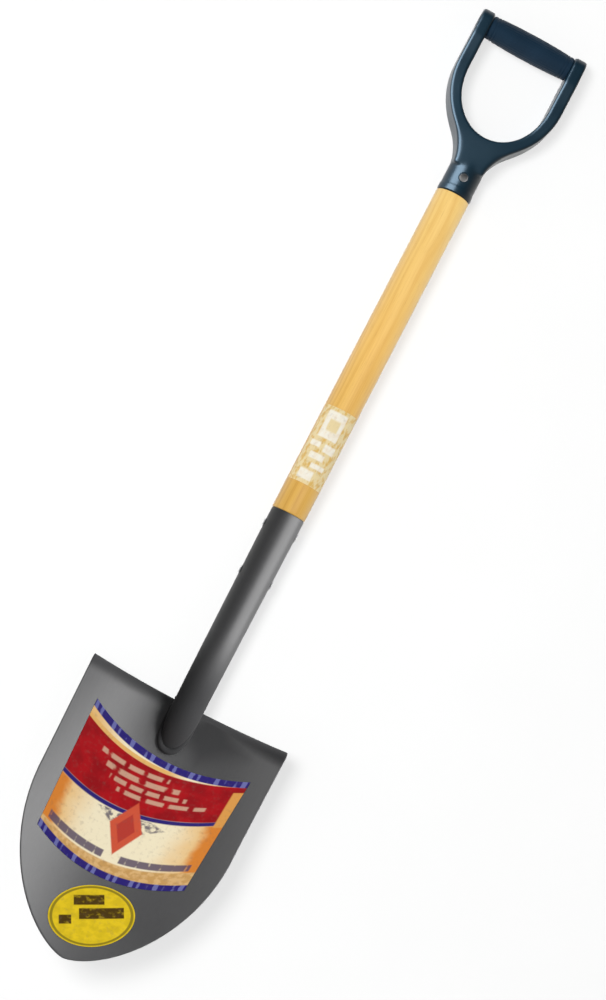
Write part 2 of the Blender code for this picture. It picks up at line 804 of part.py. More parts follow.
def make_oval(film):
    """An oval film: rings from its middle to its edge, on the blade's surface."""
    rings, sides = 4, 28
    points = [blade_point(OVAL_CENTRE_X, OVAL_CENTRE_S, film_height())]
    for ring in range(1, rings + 1):
        for k in range(sides):
            angle = 2 * math.pi * k / sides
            along = OVAL_HALF_LENGTH * math.cos(angle) * ring / rings
            up = OVAL_HALF_HEIGHT * math.sin(angle) * ring / rings
            x = along * math.cos(OVAL_TURN) - up * math.sin(OVAL_TURN)
            s = -(along * math.sin(OVAL_TURN) + up * math.cos(OVAL_TURN))
            points.append(blade_point(OVAL_CENTRE_X + x, OVAL_CENTRE_S + s, film_height()))
    faces = [(0, 1 + k, 1 + (k + 1) % sides) for k in range(sides)]
    for ring in range(rings - 1):
        for k in range(sides):
            low, high = 1 + ring * sides, 1 + (ring + 1) * sides
            after = (k + 1) % sides
            faces.append((low + k, high + k, high + after, low + after))
    oval = mesh_object("oval_sticker", points, faces)
    thicken(oval, FILM)
    return place(smooth(oval), film)


def wrap_surface(u, v):
    """The shaft's sticker: part of a tube round the wood."""
    angle = WRAP_FROM + (WRAP_TO - WRAP_FROM) * u
    radius = SHAFT_RADIUS + GAP + FILM / 2
    y = WRAP_HIGH_Y + (WRAP_LOW_Y - WRAP_HIGH_Y) * v
    return Vector((-radius * math.cos(angle), y, radius * math.sin(angle)))


def make_stickers(label, yellow, white):
    place(smooth(grid_solid("blade_label", 16, 8, label_surface, FILM)), label)
    make_oval(yellow)
    place(smooth(grid_solid("shaft_label", 14, 2, wrap_surface, FILM)), white)


# ---------------------------------------------------------------- the whole tool


def make_stance():
    """The empty that everything hangs from.  It lays the tool on the back of its grip and the foot of
    its step, both touching the ground plane, and centres it lengthwise."""
    heel = roll_point(NOTCH_HALF_WIDTH, ROLL_ROWS + 1)
    heel -= tip_direction(0) * BLADE_SHEET / 2
    drop = -heel.z - YOKE_HALF_DEPTH
    tilt = math.atan2(drop, boss_line(YOKE_HALF_DEPTH) - heel.y)
    turn = Matrix.Rotation(-tilt, 4, "X")
    foot = turn @ heel
    top, tip = turn @ Vector((0, GRIP_TOP_Y, 0)), turn @ blade_centre(BLADE_LENGTH)
    stance = bpy.data.objects.new("stance", None)
    stance.location = (0, -(top.y + tip.y) / 2, -foot.z)
    stance.rotation_euler = turn.to_euler()
    COLLECTION.objects.link(stance)
    return stance


clear_scene()
STANCE = make_stance()
bpy.context.view_layer.update()
paint = material("steel_paint", (0.075, 0.076, 0.078), 0.42, 0.6)
bright = material("bright_steel", (0.62, 0.62, 0.63), 0.30, 1.0)
wood = material("lacquered_ash", (0.80, 0.54, 0.20), 0.35)
plastic = material("grip_plastic", (0.018, 0.024, 0.034), 0.28)
rubber = material("crossbar_plastic", (0.020, 0.026, 0.048), 0.55)
label = material("label_paper", (0.72, 0.10, 0.10), 0.45)
yellow = material("yellow_film", (0.90, 0.76, 0.04), 0.40)
white = material("pale_film", (0.90, 0.86, 0.72), 0.45)
make_steel(paint, bright)
make_shaft(wood)
make_yoke(plastic)
make_crossbar(rubber, bright)
make_stickers(label, yellow, white)
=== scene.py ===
"""Looks of the round point shovel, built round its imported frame.

Metres, +Z up.  The shapes are worked out in the tool's own frame, where the shaft's axis is the Y
axis and the origin is near the middle of the blade's step.  STANCE then lays them where the frame
has them.  On the blade, x runs across and s is the distance along its centre line from the step.
"""

import json
from functools import partialmethod
from math import atan2, copysign, cos, exp, pi, radians, sin, sqrt

import bmesh
import bpy
import numpy as np
from mathutils import Matrix, Vector

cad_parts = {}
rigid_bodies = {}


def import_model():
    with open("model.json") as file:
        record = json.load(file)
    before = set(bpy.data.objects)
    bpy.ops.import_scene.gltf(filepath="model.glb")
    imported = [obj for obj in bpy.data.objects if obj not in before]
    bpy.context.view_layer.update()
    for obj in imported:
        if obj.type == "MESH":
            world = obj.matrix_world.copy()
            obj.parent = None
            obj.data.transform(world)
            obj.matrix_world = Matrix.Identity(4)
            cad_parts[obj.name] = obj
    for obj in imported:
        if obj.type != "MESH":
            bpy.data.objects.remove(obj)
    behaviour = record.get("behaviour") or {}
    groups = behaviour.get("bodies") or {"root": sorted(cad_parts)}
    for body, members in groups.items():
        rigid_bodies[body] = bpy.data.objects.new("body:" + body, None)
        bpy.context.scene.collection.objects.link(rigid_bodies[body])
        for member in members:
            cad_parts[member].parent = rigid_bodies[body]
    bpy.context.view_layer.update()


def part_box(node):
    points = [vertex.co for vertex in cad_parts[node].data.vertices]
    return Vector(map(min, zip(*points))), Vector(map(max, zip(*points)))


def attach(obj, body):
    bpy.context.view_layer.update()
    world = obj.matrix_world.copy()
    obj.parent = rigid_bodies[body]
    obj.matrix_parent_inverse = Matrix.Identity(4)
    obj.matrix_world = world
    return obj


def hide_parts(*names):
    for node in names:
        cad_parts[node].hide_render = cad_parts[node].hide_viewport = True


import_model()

# ---- Blade ----
STEP_HALF_WIDTH = 0.1121
BLADE_HALF_WIDTH = 0.1098
BLADE_LENGTH = 0.290
BLADE_SHEET = 0.0021
SHEET_SHOWN = 0.0020
EDGE_ROUNDING = 0.00055
SIDE_LENGTH = 0.124
POINT_FULLNESS = 2.04
POINT_SHARPNESS = 0.653
DISH_RADIUS_TOP = 0.188
DISH_RADIUS_TIP = 0.300
LIFT_AT_STEP = radians(6.0)
LIFT_AT_TIP = radians(21.0)
STEP_ROLL_RADIUS = 0.0075
STEP_DEPTH = 0.0165
STEP_FADE = 0.40
NOTCH_HALF_WIDTH = 0.0125
NOTCH_FRONT = -0.012
NOTCH_BACK = -0.045
NOTCH_ABOVE = 0.010

# ---- Shank ----
SOCKET_MOUTH_Y = 0.2245
SOCKET_MOUTH_RADIUS = 0.0186
SHANK_FOOT_RADIUS = 0.0168
SHANK_WALL = 0.0019
CRANK_LENGTH = 0.080
SHANK_OVER_BLADE = 0.0135
NOSE_LENGTH = 0.050
NOSE_RINGS = 40
BORE_FLOOR_Y = 0.034
SEAM_DEPTH = 0.0005
SEAM_HALF_ANGLE = radians(4.0)

# ---- Shaft ----
SHAFT_RADIUS = 0.0190
FERRULE_MOUTH_Y = 0.6085
TENON_RADIUS = 0.0160
TENON_LENGTH = 0.050
TENON_CHAMFER = 0.0015

# ---- Grip ----
GRIP_TOP_Y = 0.8070
FERRULE_RADIUS = 0.0188
FERRULE_RIM_RADIUS = 0.0194
FERRULE_BORE_RADIUS = 0.0163
FERRULE_TOP_Y = 0.6495
YOKE_HALF_DEPTH = 0.0180
YOKE_HALF_WIDTH = 0.0630
ARM_EDGE_RADIUS = 0.0058
ARM_WAIST = 0.16
HAND_HALF_WIDTH = 0.0488
HAND_FLOOR_Y = 0.6775
HAND_CENTRE_Y = 0.738
NECK_HALF_WIDTH = 0.0180
NECK_Y = 0.6385
CROTCH = (0.0352, 0.6765)
BOSS_TAPER = radians(8)
CROSSBAR_Y = 0.7918
CROSSBAR_END_RADIUS = 0.0130
CROSSBAR_MIDDLE_RADIUS = 0.0146
CROSSBAR_LIP = 0.0012
CROSSBAR_GROOVES_X = (0.0405, 0.0435)
GROOVE_DEPTH = 0.0007
GROOVE_HALF_WIDTH = 0.00055
FLUTES = 30
FLUTE_SHARE = 0.016
FLUTES_END_X = (0.034, 0.039)
BOLT_RADIUS = 0.0040
BOLT_HEAD_RADIUS = 0.0072
BOLT_HEAD_HEIGHT = 0.0032
BOLT_STEM_RADIUS = 0.0028
HEX_SOCKET_DEPTH = 0.0019
NUT_CROWN = 0.0017
NUT_HOLLOW = 0.0014
COUNTERBORE_RADIUS = 0.0080
COUNTERBORE_DEPTH = 0.0045
YOKE_VOXEL = 0.0009

# ---- Rivets and welds ----
RIVET_RADIUS = 0.0026
RIVET_HEAD_RADIUS = 0.0046
FERRULE_RIVET_CROWN = 0.0022
SOCKET_RIVET_CROWN = 0.0007
SOCKET_RIVETS_Y = (0.206, 0.150)
FERRULE_RIVET_Y = 0.6275
SPOT_FACE_RADIUS = 0.0058
FRONT_SEAT_DEPTH = 0.0010
BACK_SEAT_DEPTH = 0.0024
WELD_RADIUS = 0.0034
STEP_WELD_RADIUS = 0.0024
WELD_PITCH = 0.0021
WELD_STAND = 0.45
WELD_START_S = 0.004
STEP_WELD_FROM = radians(-27)
STEP_WELD_TO = radians(-46)

# ---- Stickers ----
FILM = 0.00025
FILM_LIFT = 0.00004
LABEL_TOP_HALF_WIDTH = 0.0905
LABEL_FOOT_HALF_WIDTH = 0.0822
LABEL_TOP_S = 0.0415
LABEL_FOOT_S = 0.1790
LABEL_SAG = 0.0205
LABEL_FOOT_SLANT = 0.0060
LABEL_TURN = radians(1.5)
OVAL_CENTRE_X = 0.0075
OVAL_CENTRE_S = 0.2390
OVAL_HALF_LENGTH = 0.0445
OVAL_HALF_HEIGHT = 0.0315
OVAL_TURN = radians(27.0)
WRAP_LOW_Y = 0.2590
WRAP_HIGH_Y = 0.3465
WRAP_FROM = radians(20.0)
WRAP_TO = radians(160.0)

# ---- Shared: the clearance between pieces, how far a cutter stands out, and a turned piece's sides
GAP = 0.0003
CUT = 0.004
ROUND = 96
SQUARE = radians(90)

# ---- Camera and studio ----
CAMERA_AIM = Vector((0.0071, -0.0168, 0.020))
CAMERA_BACK = Vector((-0.06066, -0.10042, 0.99309))
CAMERA_DISTANCE = 2.5244
CAMERA_ROLL = radians(27.40)
CAMERA_LENS = 86.4
SENSOR_WIDTH = 36.0
FLOOR_HALF = 9.0
SKY_AT_HORIZON = 0.95
SKY_OVERHEAD = 0.30
SKY_PAST_THE_GRIP = 0.20
FLOOR_FILL = 6.20


# ---- curves of the object


def blade_lift(s):
    """Slope of the blade's centre line at a distance s from the step."""
    return LIFT_AT_STEP + (LIFT_AT_TIP - LIFT_AT_STEP) * s / BLADE_LENGTH


def crank_foot():
    """Where the shank's axis meets the step, after an arc that turns it by the blade's lift."""
    radius = CRANK_LENGTH / LIFT_AT_STEP
    return Vector((0, 0, radius * (1 - cos(LIFT_AT_STEP))))


def face_direction(s):
    """Unit vector out of the blade's face on its centre line."""
    return Vector((0, sin(blade_lift(s)), cos(blade_lift(s))))


def tip_direction(s):
    """Unit vector along the centre line, towards the tip."""
    return Vector((0, -cos(blade_lift(s)), sin(blade_lift(s))))


def blade_centre(s):
    """Centre line of the sheet: an arc of constant curvature in the YZ plane."""
    bend = (LIFT_AT_TIP - LIFT_AT_STEP) / BLADE_LENGTH
    start, here = LIFT_AT_STEP, blade_lift(s)
    along = (sin(here) - sin(start)) / bend
    up = (cos(start) - cos(here)) / bend
    return crank_foot() - face_direction(0) * SHANK_OVER_BLADE + Vector((0, -along, up))


def blade_point(x, s, lift=0.0):
    """A point of the sheet's middle surface, raised by lift along its normal."""
    radius = DISH_RADIUS_TOP + (DISH_RADIUS_TIP - DISH_RADIUS_TOP) * s / BLADE_LENGTH
    level = sqrt(radius**2 - x**2)
    across = Vector((1, 0, 0))
    face = face_direction(s)
    normal = (face * level - across * x) / radius
    return blade_centre(s) + across * x + face * (radius - level) + normal * lift


def blade_foot(turn):
    """The rounded point's outline as (x, s), for turn from 0 at one side to 1 at the other."""
    share = min(sin(pi * turn) ** 1.15, 1.0)
    half = BLADE_HALF_WIDTH * (1 - share**POINT_FULLNESS) ** POINT_SHARPNESS
    x = 0.0 if abs(turn - 0.5) < 1e-9 else copysign(half, turn - 0.5)
    return x, SIDE_LENGTH + (BLADE_LENGTH - SIDE_LENGTH) * share


def roll_point(x, turn, flange=0.0, margin=0.0, lift=0.0):
    """A point of the turned step: turn radians round its roll, then a share of the flange behind
    it, which ends the margin short of its edge, raised by lift along the normal."""
    back, up = -face_direction(0), -tip_direction(0)
    around = up * sin(turn) + back * (1 - cos(turn))
    full = STEP_DEPTH * (1 - STEP_FADE * (x / STEP_HALF_WIDTH) ** 2)
    depth = full - STEP_ROLL_RADIUS - margin
    across = Vector((1, 0, 0)) - back * x / sqrt(DISH_RADIUS_TOP**2 - x**2)
    normal = across.cross(up * cos(turn) + back * sin(turn)).normalized()
    start = blade_point(x, STEP_ROLL_RADIUS)
    return start + around * STEP_ROLL_RADIUS + back * depth * flange + normal * lift


def shank_radius(y):
    """Outside radius of the tube between its mouth and the step."""
    share = (SOCKET_MOUTH_Y - y) / SOCKET_MOUTH_Y
    return SOCKET_MOUTH_RADIUS + (SHANK_FOOT_RADIUS - SOCKET_MOUTH_RADIUS) * share


def nose_size(share):
    """The nose's reach in front of the sheet, behind it, and its half width."""
    front = (SHANK_OVER_BLADE + SHANK_FOOT_RADIUS) * (1 - share**2) ** 0.80 + 0.0010 * share
    behind = (SHANK_FOOT_RADIUS - SHANK_OVER_BLADE) * (1 - share**2) ** 0.5 + 0.0010 * share
    return front, behind, SHANK_FOOT_RADIUS * (1 - share**2.6) ** 0.5


def bezier(start, start_pull, end_pull, end, steps):
    """Points of a cubic curve after its start, up to and with its end."""
    t = np.linspace(0, 1, steps + 1)[1:, None]
    a, b, c, d = (np.array(p) for p in (start, start_pull, end_pull, end))
    curve = a * (1 - t) ** 3 + b * 3 * t * (1 - t) ** 2 + c * 3 * t**2 * (1 - t) + d * t**3
    return [tuple(p) for p in curve]


def boss_line(depth):
    """Where the taper below a boss is at this depth in front of the axis."""
    radius = GRIP_TOP_Y - CROSSBAR_Y
    run = (depth - radius * cos(BOSS_TAPER)) / sin(BOSS_TAPER)
    return CROSSBAR_Y + radius * sin(BOSS_TAPER) - run * cos(BOSS_TAPER)


def stance():
    """Lays the tool on the back of its grip and the foot of its step, centred lengthwise."""
    heel = roll_point(NOTCH_HALF_WIDTH, SQUARE, 1.0) - tip_direction(0) * BLADE_SHEET / 2
    tilt = atan2(-heel.z - YOKE_HALF_DEPTH, boss_line(YOKE_HALF_DEPTH) - heel.y)
    turn = Matrix.Rotation(-tilt, 4, "X")
    top, tip = turn @ Vector((0, GRIP_TOP_Y, 0)), turn @ blade_centre(BLADE_LENGTH)
    return Matrix.Translation((0, -(top.y + tip.y) / 2, -(turn @ heel).z)) @ turn


STANCE = stance()


# ---- ways of making a mesh


def mesh_object(name, points, faces):
    mesh = bpy.data.meshes.new(name)
    mesh.from_pydata([tuple(p) for p in points], [], faces)
    mesh.update()
    made = bpy.data.objects.new(name, mesh)
    bpy.context.scene.collection.objects.link(made)
    return made


def outward(obj):
    """Turns every face of a closed mesh outwards."""
    repair = bmesh.new()
    repair.from_mesh(obj.data)
    bmesh.ops.recalc_face_normals(repair, faces=repair.faces)
    repair.to_mesh(obj.data)
    repair.free()
    return obj


def loft(name, rings):
    """A solid through rings of equal count, with flat ends."""
    count = len(rings[0])
    faces = []
    for r in range(len(rings) - 1):
        low, high = r * count, (r + 1) * count
        for k in range(count):
            after = (k + 1) % count
            faces.append((low + k, low + after, high + after, high + k))
    faces.append(tuple(range(count))[::-1])
    faces.append(tuple((len(rings) - 1) * count + k for k in range(count)))
    return outward(mesh_object(name, [p for ring in rings for p in ring], faces))


def grid_faces(wide, tall):
    """The faces between tall lines of wide points each."""
    return [
        (j * wide + i, (j + 1) * wide + i, (j + 1) * wide + i + 1, j * wide + i + 1)
        for j in range(tall - 1)
        for i in range(wide - 1)
    ]


def lay_out(obj, places):
    """Gives the mesh a UV map from one (u, v) for each point."""
    layer = obj.data.uv_layers.new(name="art")
    for loop in obj.data.loops:
        layer.data[loop.index].uv = places[loop.vertex_index]


AXES = {
    "X": Matrix.Rotation(SQUARE, 4, "Y"),
    "Y": Matrix.Rotation(-SQUARE, 4, "X"),
    "Z": Matrix.Identity(4),
}


def turned(name, profile, axis, at, steps=ROUND, shape=None):
    """A solid turned about an axis through at.  The profile is (radius, height), from end to end,
    or a ring's if it ends where it starts.  shape(angle, height) scales the radius."""
    closed = profile[0] == profile[-1]
    profile = profile[1:] if closed else profile
    points, faces, rows = [], [], []
    for radius, height in profile:
        if radius < 1e-9:
            rows.append([len(points)] * steps)
            points.append(Vector((0, 0, height)))
            continue
        rows.append(list(range(len(points), len(points) + steps)))
        for k in range(steps):
            angle = 2 * pi * k / steps
            here = radius * (shape(angle, height) if shape else 1.0)
            points.append(Vector((here * cos(angle), here * sin(angle), height)))
    for j in range(len(rows) if closed else len(rows) - 1):
        low, high = rows[j], rows[(j + 1) % len(rows)]
        for k in range(steps):
            after = (k + 1) % steps
            faces.append(list(dict.fromkeys((low[k], low[after], high[after], high[k]))))
    place = Matrix.Translation(at) @ AXES[axis]
    return outward(mesh_object(name, [place @ p for p in points], faces))


def rod(name, axis, at, radius, low, high, steps=ROUND):
    return turned(name, [(0, high), (radius, high), (radius, low), (0, low)], axis, at, steps)


def modified(obj, kind, **settings):
    """Adds one modifier and makes its result the object's own mesh."""
    modifier = obj.modifiers.new(kind.lower(), kind)
    for key, value in settings.items():
        setattr(modifier, key, value)
    graph = bpy.context.evaluated_depsgraph_get()
    graph.update()
    made = bpy.data.meshes.new_from_object(obj.evaluated_get(graph))
    obj.modifiers.clear()
    obj.data = made
    return obj


def cut(obj, *cutters, solver="EXACT", operation="DIFFERENCE"):
    """Cuts the cutters out of the object, or joins them to it, and removes them."""
    for cutter in cutters:
        modified(obj, "BOOLEAN", operation=operation, solver=solver, object=cutter)
        bpy.data.objects.remove(cutter)
    return obj


def bevelled(obj, width, segments, angle):
    """Rounds the edges that turn by more than the angle, in degrees."""
    rule = {"limit_method": "ANGLE", "angle_limit": radians(angle), "loop_slide": False}
    return modified(obj, "BEVEL", width=width, segments=segments, **rule)


def finished(obj, name, looks, slot, *nodes, sharp=38):
    """Lays a piece in the frame, with its material and the CAD nodes that it stands for."""
    obj.name = obj.data.name = name
    obj.data.transform(STANCE)
    obj.data.shade_smooth()
    obj.data.set_sharp_from_angle(angle=radians(sharp))
    obj.data.materials.clear()
    obj.data.materials.append(looks)
    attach(obj, "root")
    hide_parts(*nodes)
    return obj


# ---- steel


def blade_lines(margin, lift, columns=150, rows=130, roll_rows=12, flange_rows=5):
    """Lines across the sheet, drawn in by the margin from its edges and raised from its middle."""
    narrow, shorten = 1 - margin / BLADE_HALF_WIDTH, 1 - margin / BLADE_LENGTH
    widths = [STEP_HALF_WIDTH * narrow * (2 * i / columns - 1) for i in range(columns + 1)]
    lines = []
    for j in range(flange_rows, 0, -1):
        lines.append([roll_point(x, SQUARE, j / flange_rows, margin, lift) for x in widths])
    for j in range(roll_rows, 0, -1):
        lines.append([roll_point(x, SQUARE * j / roll_rows, lift=lift) for x in widths])
    for j in range(rows + 1):
        down = (j / rows) ** 0.92
        line = []
        for i, x in enumerate(widths):
            foot_x, foot_s = blade_foot(i / columns)
            s = STEP_ROLL_RADIUS + (foot_s * shorten - STEP_ROLL_RADIUS) * down
            line.append(blade_point(x + (foot_x * narrow - x) * down, s, lift))
        lines.append(line)
    return lines


def blade_sheet(name, thickness):
    """The dished sheet, closed: its top edge turned back over a roll, its cut edges rounded."""
    half = thickness / 2
    lines = blade_lines(EDGE_ROUNDING, half)
    wide, tall = len(lines[0]), len(lines)
    points = [p for line in lines + blade_lines(EDGE_ROUNDING, -half) for p in line]
    around = list(range(wide))
    around += [j * wide + wide - 1 for j in range(1, tall)]
    around += [(tall - 1) * wide + i for i in range(wide - 2, -1, -1)]
    around += [j * wide for j in range(tall - 2, 0, -1)]

    corner = EDGE_ROUNDING * (1 - cos(radians(45)))
    rims = [(corner, half - corner), (0, half - EDGE_ROUNDING)]
    rims += [(margin, -lift) for margin, lift in reversed(rims)]
    loops = [around]
    for margin, lift in rims:
        edge = [p for line in blade_lines(margin, lift) for p in line]
        loops.append(range(len(points), len(points) + len(around)))
        points += [edge[k] for k in around]
    loops.append([k + wide * tall for k in around])
    flat = grid_faces(wide, tall)
    faces = flat + [tuple(k + wide * tall for k in reversed(face)) for face in flat]
    for near, far in zip(loops, loops[1:]):
        for k in range(len(around)):
            after = (k + 1) % len(around)
            faces.append((near[k], near[after], far[after], far[k]))
    return outward(mesh_object(name, points, faces))


def shank_ring(centre, turn, half_width, half_height, grow, sides):
    """A section of the shank, with its closed seam along the back."""
    up = Vector((0, sin(turn), cos(turn)))
    ring = []
    for k in range(sides):
        angle = 2 * pi * k / sides
        from_back = abs((angle - 3 * SQUARE + pi) % (2 * pi) - pi)
        seam = SEAM_DEPTH * exp(-((from_back / SEAM_HALF_ANGLE) ** 2)) if grow == 0 else 0
        across = Vector((cos(angle) * (half_width + grow - seam), 0, 0))
        ring.append(centre + across + up * sin(angle) * (half_height + grow - seam))
    return ring


def shank_solid(name, grow=0.0, sides=168):
    """The tube's outside, from its mouth to its rounded nose on the blade, as a full solid."""
    rings = []
    lip = 0.0006
    mouth = SOCKET_MOUTH_Y + grow
    straight = [(mouth, lip), (mouth - lip * 0.3, lip * 0.3), (mouth - lip, 0)]
    straight += [(y, 0) for y in np.linspace(mouth - 0.004, CRANK_LENGTH, 30)]
    for y, less in straight:
        wide = shank_radius(y) - less
        rings.append(shank_ring(Vector((0, y, 0)), 0, wide, wide, grow, sides))
    radius = CRANK_LENGTH / LIFT_AT_STEP
    for turn in np.linspace(0, LIFT_AT_STEP, 22)[1:]:
        y, z = radius * (sin(LIFT_AT_STEP) - sin(turn)), radius * (1 - cos(turn))
        wide = shank_radius(y)
        rings.append(shank_ring(Vector((0, y, z)), turn, wide, wide, grow, sides))
    for k in range(1, NOSE_RINGS + 1):
        share = sin(SQUARE * k / NOSE_RINGS) * 0.997
        s = (NOSE_LENGTH + 2 * grow) * share
        front, behind, wide = nose_size(share)
        centre = blade_centre(s) + face_direction(s) * (front - behind) / 2
        rings.append(shank_ring(centre, blade_lift(s), wide, (front + behind) / 2, grow, sides))
    return loft(name, rings)


def socket_bore():
    """The tapered hole that the shaft is driven into."""
    deep = shank_radius(BORE_FLOOR_Y) - SHANK_WALL
    wide = shank_radius(SOCKET_MOUTH_Y) - SHANK_WALL
    top, floor = SOCKET_MOUTH_Y + CUT, BORE_FLOOR_Y
    profile = [(0, top), (wide, top), (wide, SOCKET_MOUTH_Y), (deep, floor), (0, floor)]
    return turned("bore", profile, "Y", (0, 0, 0), 120)


def step_notch():
    """The opening in the turned step, under the shank."""
    half, sides = NOTCH_HALF_WIDTH, (NOTCH_BACK, NOTCH_FRONT)
    rings = []
    for along in (-NOTCH_ABOVE, STEP_ROLL_RADIUS * 0.6):
        middle = crank_foot() + tip_direction(0) * along
        ring = [(-half, sides[0]), (half, sides[0]), (half, sides[1]), (-half, sides[1])]
        rings.append([middle + Vector((x, 0, 0)) + face_direction(0) * up for x, up in ring])
    return loft("notch", rings)


def face_weld_line():
    """Along both sides of the shank's foot and round its nose, on the blade's face."""
    height = BLADE_SHEET / 2 + WELD_RADIUS * WELD_STAND
    spread = WELD_RADIUS * WELD_STAND
    line = []
    for turn in np.linspace(-1, 1, 121):
        share = cos(SQUARE * turn)
        s = WELD_START_S + (NOSE_LENGTH + spread - WELD_START_S) * share
        front, behind, half_width = nose_size(share * 0.985)
        level = (height - (front - behind) / 2) / ((front + behind) / 2)
        beside = half_width * sqrt(1 - max(-1.0, min(1.0, level)) ** 2)
        beside += spread * (1 - share**4)
        line.append(blade_point(copysign(beside, turn), s, height))
    return line


def step_weld_line(side):
    """Where one side of the shank passes the step's notch, down to the notch's edge."""
    stand = STEP_WELD_RADIUS * WELD_STAND
    radius = SHANK_FOOT_RADIUS + stand
    centre = crank_foot() - tip_direction(0) * (BLADE_SHEET / 2 + stand)
    line = []
    for angle in np.linspace(STEP_WELD_FROM, STEP_WELD_TO, 30):
        across = Vector((side * cos(angle) * radius, 0, 0))
        line.append(centre + across + face_direction(0) * sin(angle) * radius)
    return line


def weld_bead(name, line, size, sides=28, step=0.00032):
    """A bead laid along the line in overlapping ripples, drawn in at both ends."""
    line = np.array([tuple(p) for p in line])
    run = np.concatenate([[0], np.cumsum(np.linalg.norm(np.diff(line, axis=0), axis=1))])
    stops = np.arange(0, run[-1], step)
    points = np.stack([np.interp(stops, run, line[:, k]) for k in range(3)], axis=1)
    for _ in range(14):
        points[1:-1] = (points[:-2] + points[1:-1] * 2 + points[2:]) / 4
    ahead = np.gradient(points, axis=0)
    rings = []
    for point, along, stop in zip(points, ahead, stops):
        forward = Vector(along).normalized()
        side = forward.cross(Vector((0, 0.1, 1))).normalized()
        up = side.cross(forward)
        ending = min(stop, run[-1] - stop) / (size * 1.3)
        body = size * sqrt(max(0.02, 1 - (1 - min(ending, 1.0)) ** 2))
        ring = []
        for k in range(sides):
            angle = 2 * pi * k / sides
            phase = (stop / WELD_PITCH + 0.55 * sin(angle) ** 2) % 1.0
            ripple = 0.93 + 0.10 * sqrt(1 - (2 * phase - 1) ** 2 * 0.96)
            here = min(body * ripple, size)
            ring.append(Vector(point) + (side * cos(angle) + up * sin(angle)) * here)
        rings.append(ring)
    return loft(name, rings)


def rivet(name, axis, at, front, behind, crown, steps=48):
    """A rivet with a low domed head and a thin rim at each end."""
    rim = crown * 0.22
    dome = []
    for k in range(11):
        angle = SQUARE * k / 10
        dome.append((RIVET_HEAD_RADIUS * sin(angle), GAP + rim + (crown - rim) * cos(angle)))
    head = dome + [(RIVET_HEAD_RADIUS, GAP), (RIVET_RADIUS, GAP)]
    top = [(radius, front + height) for radius, height in head]
    foot = [(radius, -behind - height) for radius, height in reversed(head)]
    return turned(name, top + foot, axis, at, steps)


def make_steel(blade_paint, shank_paint, zinc):
    blade = blade_sheet("sheet", SHEET_SHOWN)
    cut(blade, shank_solid("clearance", GAP), step_notch(), solver="MANIFOLD")
    finished(blade, "pressed_blade", blade_paint, "steel_paint", "blade", sharp=50)

    shank = cut(shank_solid("tube"), socket_bore())
    for number, y in enumerate(SOCKET_RIVETS_Y, 1):
        reach = shank_radius(y) + 0.0002
        far = reach + CUT
        cut(shank, rod("hole", "X", (0, y, 0), RIVET_RADIUS + GAP, -far, far, 48))
        pin = rivet("pin", "X", (0, y, 0), reach, reach, SOCKET_RIVET_CROWN)
        finished(pin, f"socket_pin_{number}", zinc, "bright_steel", f"socket_rivet_{number}")
    finished(shank, "steel_shank", shank_paint, "steel_paint", "shank_socket")

    beads = (
        ("nose_weld", face_weld_line(), WELD_RADIUS, "face_weld_bead"),
        ("left_notch_weld", step_weld_line(-1), STEP_WELD_RADIUS, "left_step_weld"),
        ("right_notch_weld", step_weld_line(1), STEP_WELD_RADIUS, "right_step_weld"),
    )
    for name, line, size, node in beads:
        bead = weld_bead("bead", line, size)
        finished(bead, name, shank_paint, "steel_paint", node, sharp=60)


# ---- wood


def make_shaft(wood):
    """The turned shaft: the grip's tenon, the held length, the socket's tenon."""
    top = FERRULE_MOUTH_Y + TENON_LENGTH
    shoulder = SOCKET_MOUTH_Y + GAP
    low = BORE_FLOOR_Y + 0.006
    mouth_fit = SOCKET_MOUTH_RADIUS - SHANK_WALL - GAP
    low_fit = shank_radius(low) - SHANK_WALL - GAP
    chamfer = TENON_CHAMFER
    held = np.linspace(FERRULE_MOUTH_Y - chamfer, shoulder + chamfer, 60)
    profile = [
        (0, top),
        (TENON_RADIUS - chamfer, top),
        (TENON_RADIUS, top - chamfer),
        (TENON_RADIUS, FERRULE_MOUTH_Y - GAP),
        (SHAFT_RADIUS - 0.0009, FERRULE_MOUTH_Y - GAP),
        (SHAFT_RADIUS - 0.0002, FERRULE_MOUTH_Y - 0.0007),
        *[(SHAFT_RADIUS, y) for y in held],
        (SHAFT_RADIUS - 0.0002, shoulder + 0.0006),
        (SHAFT_RADIUS - 0.0008, shoulder),
        (mouth_fit, shoulder),
        (mouth_fit, SOCKET_MOUTH_Y - 0.001),
        (low_fit, low + chamfer),
        (low_fit - chamfer, low),
        (0, low),
    ]
    shaft = turned("shaft", profile, "Y", (0, 0, 0), 128)
    holes = [(y, "X") for y in SOCKET_RIVETS_Y] + [(FERRULE_RIVET_Y, "Z")]
    for y, axis in holes:
        far = SHAFT_RADIUS + CUT
        cut(shaft, rod("hole", axis, (0, y, 0), RIVET_RADIUS + GAP, -far, far, 48))
    finished(shaft, "turned_shaft", wood, "lacquered_ash", "ash_shaft")


# ---- grip


